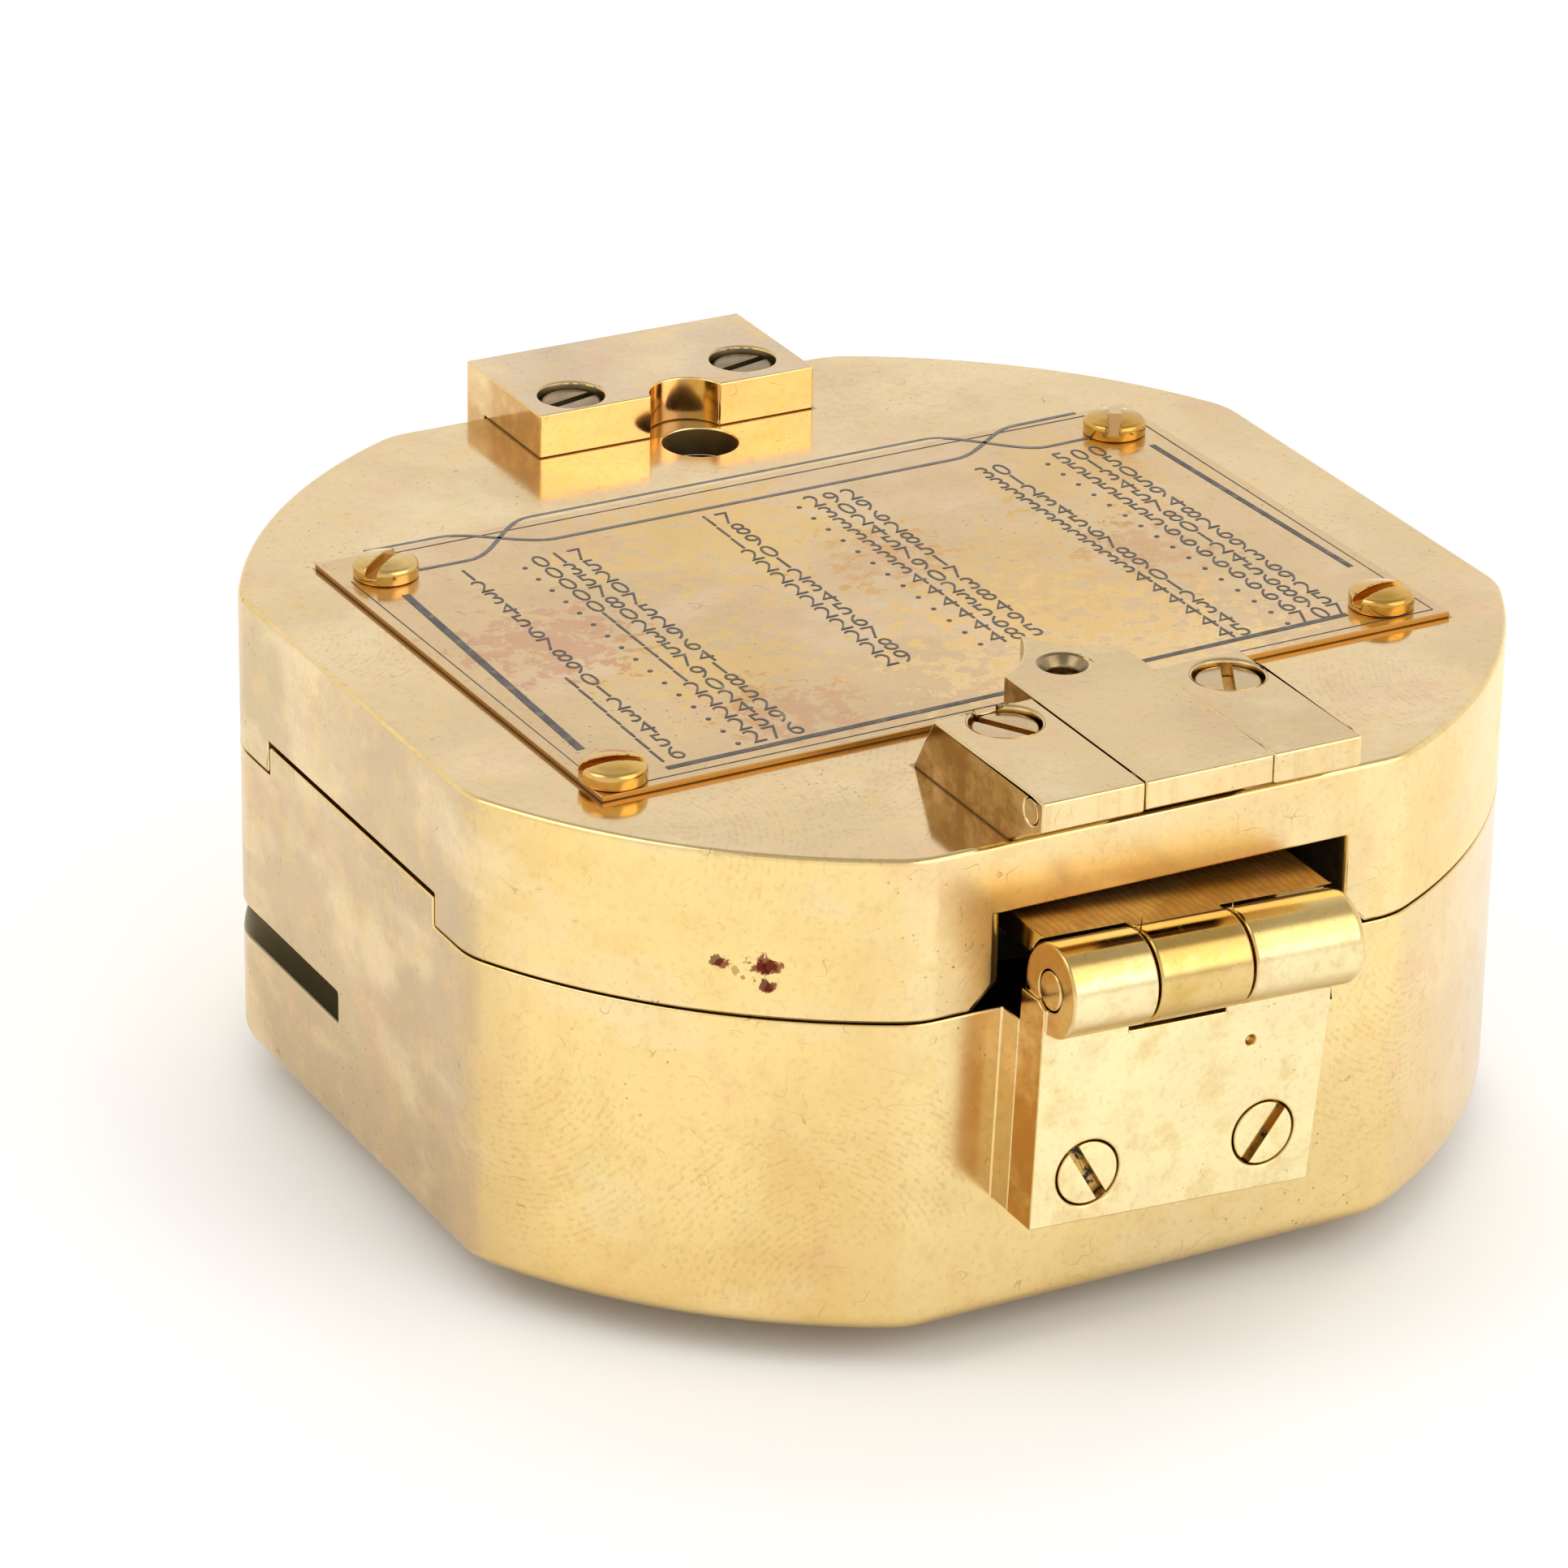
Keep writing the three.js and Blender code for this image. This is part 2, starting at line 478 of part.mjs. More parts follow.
function smallTongue() {
  const { left, right, tipX, tipY, shoulder, low } = TONGUE;
  const { x, y, r, sink } = TONGUE_EYE;
  const shape = new THREE.Shape();
  shape.moveTo(left, BLOCK.front);
  shape.lineTo(right, BLOCK.front);
  shape.lineTo(right, -22.8);
  shape.lineTo(3.3, -22.1);
  shape.quadraticCurveTo(1.0, -21.0, tipX, tipY);
  shape.quadraticCurveTo(-0.9, -22.3, left, shoulder);
  const blade = prism(shape, low, BLOCK_TOP, 6);
  const depth = sink - r;
  const cone = turned([[0, BLOCK_TOP - depth], [r, BLOCK_TOP - depth], [sink, BLOCK_TOP],
    [sink, BLOCK_TOP + 1], [0, BLOCK_TOP + 1]], 20);
  const pinBore = rod(-20, 20, SMALL_AXIS.y, SMALL_AXIS.z, SMALL_PIN + 0.08, 16);
  return cut(blade, pinBore, post(x, y, r, 30, 40, 20), cone.translate([x, y, 0]));
}

place('small_sight_tongue', satinBrass, smallTongue());

// ---- lid hinge upper leaf, bent down over the back flat -------------------------------------------------
function lidUpperLeaf() {
  const { left, right, front, back, top } = UPPER_LEAF;
  const gap = KNUCKLE_GAP / 2;
  const { a, b } = LID_KNUCKLES;
  const block = box(left, right, front, back, CASE_TOP, top);
  const drop = box(left, right, FLAT + 0.3, back, 26.3, CASE_TOP + 1);
  const web = box(a + gap, b - gap, FLAT + 0.3, back, LID_AXIS.z, 27);
  const knuckle = rod(a + gap, b - gap, LID_AXIS.y, LID_AXIS.z, KNUCKLE);
  const notch = join(post(SIGHT_HOLE.x - 0.1, 28.6, 2.65, 30, 40, 24), box(SIGHT_HOLE.x - 2.75,
    SIGHT_HOLE.x + 2.55, 27, 28.6, 30, 40));
  const screws = leafScrews.flatMap(([x, y]) => [
    post(x, y, FLUSH_HEAD + 0.2, top - 1.9, 40, 24),
    post(x, y, SHANK + CLEAR, 30, 40, 10)]);
  return cut(join(block, drop, web, knuckle), notch, ...screws,
    rod(-20, 20, LID_AXIS.y, LID_AXIS.z, PIN + 0.1, 16));
}

place('lid_hinge_upper_leaf', paleBrass, lidUpperLeaf());
leafScrews.forEach(([x, y, turn], i) => {
  const top = UPPER_LEAF.top - 0.4;
  place(`lid_hinge_upper_screw_${['left', 'right'][i]}`, screwBrass,
    screwAt([x, y], FLUSH_HEAD, top - HINGE_HEAD, top, SHANK_END, turn), x, y);
});

// ---- mirror inside the lid --------------------------------------------------------------------------------
const MIRROR_LOW = 29.2;
place('mirror', mirrorGlass, cut(disc(33.8, MIRROR_LOW, CASE_TOP - LID_THICK - 0.1),
  post(SIGHT_HOLE.x, SIGHT_HOLE.y, 3.0, 20, 40, 24)));
place('mirror_ring', polishedBrass, ring(32.4, 34.3, 28.0, MIRROR_LOW - 0.1));

// ---- large sight arm and its folding peep ---------------------------------------------------------
function sightArm() {
  const { low, high, left, right, clear } = LEAF;
  const { centre, half, tip, slotHalf } = ARM;
  const gap = KNUCKLE_GAP / 2;
  const { a, b } = SIGHT_KNUCKLES;
  const shape = outline([[left, SIGHT_AXIS.y + 1], [right, SIGHT_AXIS.y + 1], [right, -33.5],
    [centre + half, -28.5], [centre + half, tip], [centre - half, tip], [centre - half, -28.5],
    [left, -33.5]]);
  const web = box(a + gap, b - gap, SIGHT_AXIS.y, SIGHT_AXIS.y + 3.4, SIGHT_AXIS.z, high);
  const sides = [rod(-20, a + gap, SIGHT_AXIS.y, SIGHT_AXIS.z, clear, 28),
    rod(b - gap, 20, SIGHT_AXIS.y, SIGHT_AXIS.z, clear, 28)];
  const slot = box(centre - slotHalf, centre + slotHalf, -25, 2, low - 1, high + 1);
  const fork = box(centre - 3.3, centre + 3.3, 9.4, tip + 1, low - 1, high + 1);
  const knuckle = rod(a + gap, b - gap, SIGHT_AXIS.y, SIGHT_AXIS.z, KNUCKLE);
  const leaf = cut(prism(shape, low, high), ...sides, slot, fork);
  return cut(join(leaf, web, knuckle), rod(-20, 20, SIGHT_AXIS.y, SIGHT_AXIS.z, PIN + 0.1, 16),
    rod(-20, 20, PEEP_AXIS.y, PEEP_AXIS.z, 0.45, 10));
}

place('large_sight_arm', satinBrass, tilted(sightArm()));
place('peep_hinge_pin', steel,
  tilted(rod(ARM.centre - ARM.half, ARM.centre + ARM.half, PEEP_AXIS.y, PEEP_AXIS.z, 0.35, 10)));

function peepSight() {
  const { low, high } = PEEP;
  const inner = ARM.centre - 3.0;
  const outer = ARM.centre + 3.0;
  const plate = box(ARM.centre - ARM.half, ARM.centre + ARM.half, -0.5, 9.2, low, high);
  const neck = box(inner, outer, 9, PEEP_AXIS.y + 0.4, low, high);
  const web = box(inner, outer, PEEP_AXIS.y - 0.6, PEEP_AXIS.y + 0.4, low, PEEP_AXIS.z);
  const knuckle = rod(inner, outer, PEEP_AXIS.y, PEEP_AXIS.z, 0.75, 16);
  const sightHole = post(ARM.centre, 2.6, 0.9, 20, 30, 16);
  const sightSlot = box(ARM.centre - 0.4, ARM.centre + 0.4, 4.4, 8.0, 20, 30);
  return cut(join(plate, neck, web, knuckle), sightHole, sightSlot,
    rod(-20, 20, PEEP_AXIS.y, PEEP_AXIS.z, 0.45, 10));
}

place('peep_sight', satinBrass, tilted(peepSight()));

export default group;
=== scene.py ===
# Brass pocket transit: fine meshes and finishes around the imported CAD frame.
import json
from math import acos, atan2, copysign, cos, degrees, pi, radians, sin, tau
from types import SimpleNamespace as Sizes

import bmesh
import bpy
from mathutils import Matrix, Vector


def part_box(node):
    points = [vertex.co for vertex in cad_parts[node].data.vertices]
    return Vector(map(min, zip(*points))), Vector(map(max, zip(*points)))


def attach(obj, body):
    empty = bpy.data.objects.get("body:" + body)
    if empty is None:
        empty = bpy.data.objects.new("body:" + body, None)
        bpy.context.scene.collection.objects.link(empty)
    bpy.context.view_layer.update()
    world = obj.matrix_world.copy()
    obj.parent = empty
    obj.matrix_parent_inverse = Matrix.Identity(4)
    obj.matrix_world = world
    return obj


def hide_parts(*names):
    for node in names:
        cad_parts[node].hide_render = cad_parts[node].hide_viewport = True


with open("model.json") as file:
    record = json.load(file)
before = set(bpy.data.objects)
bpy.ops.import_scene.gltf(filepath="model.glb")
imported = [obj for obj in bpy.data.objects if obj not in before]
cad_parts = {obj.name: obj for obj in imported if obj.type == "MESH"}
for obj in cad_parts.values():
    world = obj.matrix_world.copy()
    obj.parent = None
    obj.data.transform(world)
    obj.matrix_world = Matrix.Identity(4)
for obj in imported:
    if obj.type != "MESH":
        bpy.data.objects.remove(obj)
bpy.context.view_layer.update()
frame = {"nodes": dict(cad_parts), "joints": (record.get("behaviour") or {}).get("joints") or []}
scene = bpy.context.scene

# Shapes are modelled in millimetres in the case's own frame: z = 0 is the underside of the case.
MM = 0.001
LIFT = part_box("body_case")[0].z / MM       # the lever under the case holds it up by this much
TO_ROW = Matrix.Scale(MM, 4) @ Matrix.Translation((0, 0, LIFT))


def span(node):
    """A CAD node's box in the case frame, in millimetres."""
    low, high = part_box(node)
    return Sizes(x0=low.x / MM, y0=low.y / MM, z0=low.z / MM - LIFT,
                 x1=high.x / MM, y1=high.y / MM, z1=high.z / MM - LIFT)


def reach(node):
    """The largest distance of a CAD node from the Z axis, in millimetres."""
    return max(v.co.xy.length for v in frame["nodes"][node].data.vertices) / MM


def joint_axis(name):
    """A point on a hinge joint's axis in the case frame, and the axis's lean about Y."""
    joint = next(j for j in frame["joints"] if j["name"] == name)
    x, y, z = joint["pos_m"]
    along, _, rise = joint["axis"]
    return Sizes(x=x / MM, y=y / MM, z=z / MM - LIFT, lean=atan2(-rise, along))


# ---- driving dimensions ----
body_box = span("body_case")
lid_box = span("lid_case")
FLAT = body_box.x1                  # centre to each flat
ROUND = reach("body_case")          # radius of the round stretches
TAB_TOP = body_box.z1               # raised wall on the two side flats
CASE_TOP = lid_box.z1
LID_LOW = lid_box.z0                # lower edge of the lid
PARTING = LID_LOW - 0.15            # upper edge of the body
CORNER = 5.5                        # radius where a flat turns into the round
FOOT_EDGE = 1.7
LID_EDGE = 0.4
TAB_HALF = 12.3
FLOOR = 2.5
BORES = ((31.5, 13.0), (33.0, 18.3), (34.5, 40.0))   # radius of each step and how high it goes
LID_CEILING = CASE_TOP - 2.0
SLOT = Sizes(low=8.3, high=10.5, start=2.1, end=26.0, depth=2.4)

SIGHT_AXIS = joint_axis("large_sight_hinge")
LID_AXIS = joint_axis("lid_hinge")
PEEP_AXIS = joint_axis("peep_hinge")
SMALL_AXIS = joint_axis("small_sight_hinge")
KNUCKLE = 3.0
PIN = 1.25
KNUCKLE_GAP = 0.16                  # between neighbouring knuckles
WINDOW = Sizes(left=-11.3, right=13.0, top=27.8, chamfer=1.6, flare=0.8, top_flare=0.3)
HEAD = 2.15                         # table screw heads
FLUSH_HEAD = 2.1
SHANK = 1.1
SEAT_RIM = 0.12                     # broken edge around a sunk screw head
SHANK_END = 31.1
TABLE = Sizes(x=0.0, y=-1.05, width=61.8, depth=40.3)
TABLE_TURN = radians(1.0)
SIGHT_HOLE = Sizes(x=1.4, y=27.0, r=2.6)
LOCK_TURN = radians(-45)            # the lock pin's direction from the centre
LOCK_OUT = 37.4                     # and its distance
SEGMENTS = 48                       # facets of small round pieces
RIM_SEGMENTS = 180                  # facets of large round pieces


# ---- solids ----
def mesh_of(verts, faces):
    shape = bpy.data.meshes.new("shape")
    shape.from_pydata([tuple(v) for v in verts], [], faces)
    shape.update()
    return shape


def polar(radius, turn):
    """A point of the XY plane at a radius and an angle in radians."""
    return radius * cos(turn), radius * sin(turn)


def loft(loops):
    """A closed solid through loops of equal length, capped at both ends."""
    count = len(loops[0])
    verts = [point for loop in loops for point in loop]
    faces = [list(range(count))[::-1]]
    for level in range(len(loops) - 1):
        low = level * count
        high = low + count
        for i in range(count):
            j = (i + 1) % count
            faces.append([low + i, low + j, high + j, high + i])
    faces.append([high + i for i in range(count)])
    return mesh_of(verts, faces)


def slab(x0, x1, y0, y1, z0, z1):
    corners = [(x0, y0), (x1, y0), (x1, y1), (x0, y1)]
    return loft([[(x, y, z) for x, y in corners] for z in (z0, z1)])


def prism(outline, z0, z1):
    return loft([[(x, y, z) for x, y in outline] for z in (z0, z1)])


def lathe(profile, segments=SEGMENTS):
    """A solid turned about Z from (radius, height) pairs that start and end on the axis."""
    verts = []
    rows = []
    for radius, height in profile:
        if radius < 1e-6:
            rows.append([len(verts)] * segments)
            verts.append((0, 0, height))
            continue
        rows.append([len(verts) + i for i in range(segments)])
        for i in range(segments):
            verts.append((*polar(radius, tau * i / segments), height))
    faces = []
    for low, high in zip(rows, rows[1:]):
        for i in range(segments):
            j = (i + 1) % segments
            corners = list(dict.fromkeys([low[i], low[j], high[j], high[i]]))
            if len(corners) > 2:
                faces.append(corners)
    return mesh_of(verts, faces)


def ring(inner, outer, z0, z1):
    return cut(post(outer, z0, z1, RIM_SEGMENTS), post(inner, z0 - 1, z1 + 1, RIM_SEGMENTS))


def post(radius, z0, z1, segments=SEGMENTS):
    return lathe([(0, z0), (radius, z0), (radius, z1), (0, z1)], segments)


def quarter(steps):
    """The angles of a quarter turn, in even steps."""
    return [pi / 2 * i / steps for i in range(steps + 1)]


def rounded_post(radius, z0, z1, edge, segments=SEGMENTS, low_edge=0.0):
    """A post whose rim is rounded by `edge` at the top, and by `low_edge` at the bottom."""
    turns = quarter(5)
    profile = [(0, z0)]
    if low_edge:
        profile += [(radius - low_edge * (1 - sin(t)), z0 + low_edge * (1 - cos(t))) for t in turns]
    else:
        profile.append((radius, z0))
    profile += [(radius - edge * (1 - cos(t)), z1 - edge * (1 - sin(t))) for t in turns]
    return lathe(profile + [(0, z1)], segments)


def turned(shape, place, angle, axis):
    """The shape is turned about an axis through the origin, then carried to a place."""
    shape.transform(Matrix.Translation(place) @ Matrix.Rotation(angle, 4, axis))
    return shape


def moved(shape, x=0.0, y=0.0, z=0.0, turn=0.0):
    return turned(shape, (x, y, z), turn, "Z")


def along_x(shape, y, z):
    """A solid made along Z is laid along X, through y and z."""
    return turned(shape, (0, y, z), pi / 2, "Y")


def leaned(shape):
    """A piece of the sight-arm hinge is turned with the hinge, which sits askew on its flat."""
    centre = Matrix.Translation((SIGHT_AXIS.x, 0, SIGHT_AXIS.z))
    shape.transform(centre @ Matrix.Rotation(SIGHT_AXIS.lean, 4, "Y") @ centre.inverted())
    return shape


def rod(x0, x1, axis, radius, segments=SEGMENTS):
    return along_x(post(radius, x0, x1, segments), axis.y, axis.z)


def placed(name, data):
    """An object for a mesh, light or camera, in the scene."""
    item = bpy.data.objects.new(name, data)
    scene.collection.objects.link(item)
    return item


def combine(operation, base, tools):
    holder = placed("blank", base)
    helpers = []
    for tool in tools:
        helpers.append(placed("tool", tool))
        step = holder.modifiers.new("step", "BOOLEAN")
        step.operation = operation
        step.solver = "MANIFOLD"
        step.object = helpers[-1]
    graph = bpy.context.evaluated_depsgraph_get()
    result = bpy.data.meshes.new_from_object(holder.evaluated_get(graph))
    for item in [holder, *helpers]:
        bpy.data.objects.remove(item)
    return result


def cut(base, *tools):
    return combine("DIFFERENCE", base, tools)


def join(base, *more):
    return combine("UNION", base, more)


def keep(base, *tools):
    return combine("INTERSECT", base, tools)


def arc(x, y, radius, start, stop, steps):
    """Points of an arc about (x, y) from start to stop, in degrees."""
    turns = [radians(start + (stop - start) * i / steps) for i in range(steps + 1)]
    return [(x + radius * cos(t), y + radius * sin(t)) for t in turns]


def soiled(shape, test):
    """Faces whose centre and normal pass the test take the piece's second material."""
    for face in shape.polygons:
        if test(face.center, face.normal):
            face.material_index = 1
    return shape


# ---- finished pieces ----
MERGE = 0.002                       # corners nearer than this, in millimetres, become one


def crisp(edge):
    """True where a level face meets the first step of a rounding: the face keeps its own normal."""
    if len(edge.link_faces) != 2 or edge.calc_face_angle(0) < radians(5):
        return False
    level = [face for face in edge.link_faces if max(abs(c) for c in face.normal) > 0.99999]
    return any(face.calc_area() > 1 for face in level)


def piece(node, shape, body, material, bevel=0.1, angle=30, second=None, name=None):
    """A shape in case-frame millimetres becomes a smooth-shaded piece in place of a CAD node."""
    name = name or f"{node}_fine"
    build = bmesh.new()
    build.from_mesh(shape)
    bmesh.ops.remove_doubles(build, verts=build.verts, dist=MERGE)
    bmesh.ops.dissolve_degenerate(build, dist=MERGE, edges=build.edges)
    bmesh.ops.recalc_face_normals(build, faces=build.faces)
    build.normal_update()
    for face in build.faces:
        face.smooth = True
    for edge in build.edges:
        edge.smooth = not crisp(edge)
    build.to_mesh(shape)
    build.free()
    shape.transform(TO_ROW)
    shape.name = name
    item = placed(name, shape)
    marks = [face.material_index for face in shape.polygons]
    shape.materials.clear()
    shape.materials.append(material)
    if second:
        shape.materials.append(second)
        shape.polygons.foreach_set("material_index", marks)
    if bevel:
        edge = item.modifiers.new("soft_edges", "BEVEL")
        edge.width = bevel * MM
        edge.segments = 3
        edge.limit_method = "ANGLE"
        edge.angle_limit = radians(angle)
        edge.use_clamp_overlap = False
        edge.miter_outer = "MITER_ARC"
    even = item.modifiers.new("even_shading", "WEIGHTED_NORMAL")
    even.keep_sharp = True
    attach(item, body)
    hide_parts(node)


# ---- materials ----
def linear(red, green, blue):
    """A colour given as 0-255 display values, as the shader's linear values."""
    values = [c / 255 for c in (red, green, blue)]
    return tuple(v / 12.92 if v <= 0.04045 else ((v + 0.055) / 1.055) ** 2.4 for v in values) + (1.0,)


class Finish:
    """A material under construction: short calls that add nodes and return their output."""

    def __init__(self, name):
        self.material = bpy.data.materials.new(name)
        self.material.use_nodes = True
        self.tree = self.material.node_tree
        self.shader = self.tree.nodes["Principled BSDF"]
        self.place = self.add("ShaderNodeTexCoord", {}).outputs["Object"]
        self.facing = self.add("ShaderNodeTexCoord", {}).outputs["Normal"]

    def add(self, kind, inputs, **settings):
        """A node with its settings; each of its inputs is linked or given a constant."""
        node = self.tree.nodes.new(kind)
        for key, value in settings.items():
            setattr(node, key, value)
        for key, value in inputs.items():
            self.plug(node.inputs[key], value)
        return node

    def plug(self, socket, value):
        if isinstance(value, bpy.types.NodeSocket):
            self.tree.links.new(value, socket)
        else:
            socket.default_value = value

    def stretched(self, x, y, z):
        return self.add("ShaderNodeMapping", {"Vector": self.place, "Scale": (x, y, z)}).outputs["Vector"]

    def noise(self, scale, detail=3.0, rough=0.55, where=None, distortion=0.0):
        inputs = {"Vector": where or self.place, "Scale": scale, "Detail": detail, "Roughness": rough,
                  "Distortion": distortion}
        return self.add("ShaderNodeTexNoise", inputs).outputs["Fac"]

    def waves(self, scale, distortion, where=None, direction="DIAGONAL", detail_scale=1.0):
        inputs = {"Vector": where or self.place, "Scale": scale, "Distortion": distortion, "Detail": 2.0,
                  "Detail Scale": detail_scale}
        return self.add("ShaderNodeTexWave", inputs, bands_direction=direction).outputs["Fac"]

    def cells(self, scale):
        inputs = {"Vector": self.place, "Scale": scale, "Randomness": 1.0}
        return self.add("ShaderNodeTexVoronoi", inputs).outputs["Distance"]

    def band(self, value, low, high, start=0.0, end=1.0):
        """The value's range low..high is spread over start..end, and clamped."""
        inputs = {"Value": value, "From Min": low, "From Max": high, "To Min": start, "To Max": end}
        return self.add("ShaderNodeMapRange", inputs, interpolation_type="SMOOTHSTEP").outputs["Result"]

    def math(self, operation, a, b=0.0):
        return self.add("ShaderNodeMath", {0: a, 1: b}, operation=operation).outputs[0]

    def times(self, a, b):
        return self.math("MULTIPLY", a, b)

    def plus(self, a, b):
        return self.math("ADD", a, b)

    def mix(self, factor, a, b):
        inputs = {"Factor": factor, "A": a, "B": b}
        return self.add("ShaderNodeMix", inputs, data_type="RGBA").outputs["Result"]

    def split(self, vector):
        return self.add("ShaderNodeSeparateXYZ", {0: vector}).outputs

    def distance(self, x, y, z):
        """Millimetres from a point given in the case frame."""
        inputs = {0: self.place, 1: TO_ROW @ Vector((x, y, z))}
        away = self.add("ShaderNodeVectorMath", inputs, operation="DISTANCE").outputs["Value"]
        return self.math("DIVIDE", away, MM)

    def finger_mark(self, spot, centre, reach):
        """Skin ridges: arcs about `centre`, seen within `reach` millimetres of `spot`."""
        arcs = self.plus(self.distance(*centre), self.times(self.noise(110, 2, 0.5), 1.6))
        ridge = self.math("SINE", self.times(arcs, tau / RIDGE_PITCH))
        inside = self.band(self.distance(*spot), reach, reach * 0.5)
        return self.times(self.band(ridge, -0.1, 0.8), inside)

    def edge_of(self, x, y, half_x, half_y, turn):
        """Millimetres outside a turned rectangle on the lid; negative inside it."""
        offset = self.add("ShaderNodeVectorMath", {0: self.place, 1: TO_ROW @ Vector((x, y, 0))},
                          operation="SUBTRACT")
        level = self.add("ShaderNodeVectorRotate", {"Vector": offset.outputs["Vector"], "Angle": -turn},
                         rotation_type="Z_AXIS")
        across = self.split(level.outputs["Vector"])
        sides = []
        for value, half in ((across[0], half_x), (across[1], half_y)):
            sides.append(self.math("SUBTRACT", self.math("ABSOLUTE", value), half * MM))
        return self.math("DIVIDE", self.math("MAXIMUM", *sides), MM)

    def bump(self, height, strength, distance, below=None):
        inputs = {"Height": height, "Strength": strength, "Distance": distance * MM}
        if below:
            inputs["Normal"] = below
        return self.add("ShaderNodeBump", inputs).outputs["Normal"]

    def done(self, colour, roughness, normal=None, metallic=1.0):
        self.plug(self.shader.inputs["Base Color"], colour)
        self.plug(self.shader.inputs["Roughness"], roughness)
        self.plug(self.shader.inputs["Metallic"], metallic)
        if normal:
            self.plug(self.shader.inputs["Normal"], normal)
        return self.material


FOOT_BAND_TONE = (58, 44, 26)
PINK = (228, 172, 138)
GREEN = (206, 198, 140)
RIDGE_DIRT = (182, 134, 66)
PIT_DIRT = (112, 74, 36)
SCRATCH_DIRT = (122, 88, 44)
# the darkest tone of the packed soiling and painted shade in hollows
PACKED_DIRT_AND_SHADE = (30, 25, 19)
RIDGE_PITCH = 0.46                  # millimetres between the ridges of a finger mark


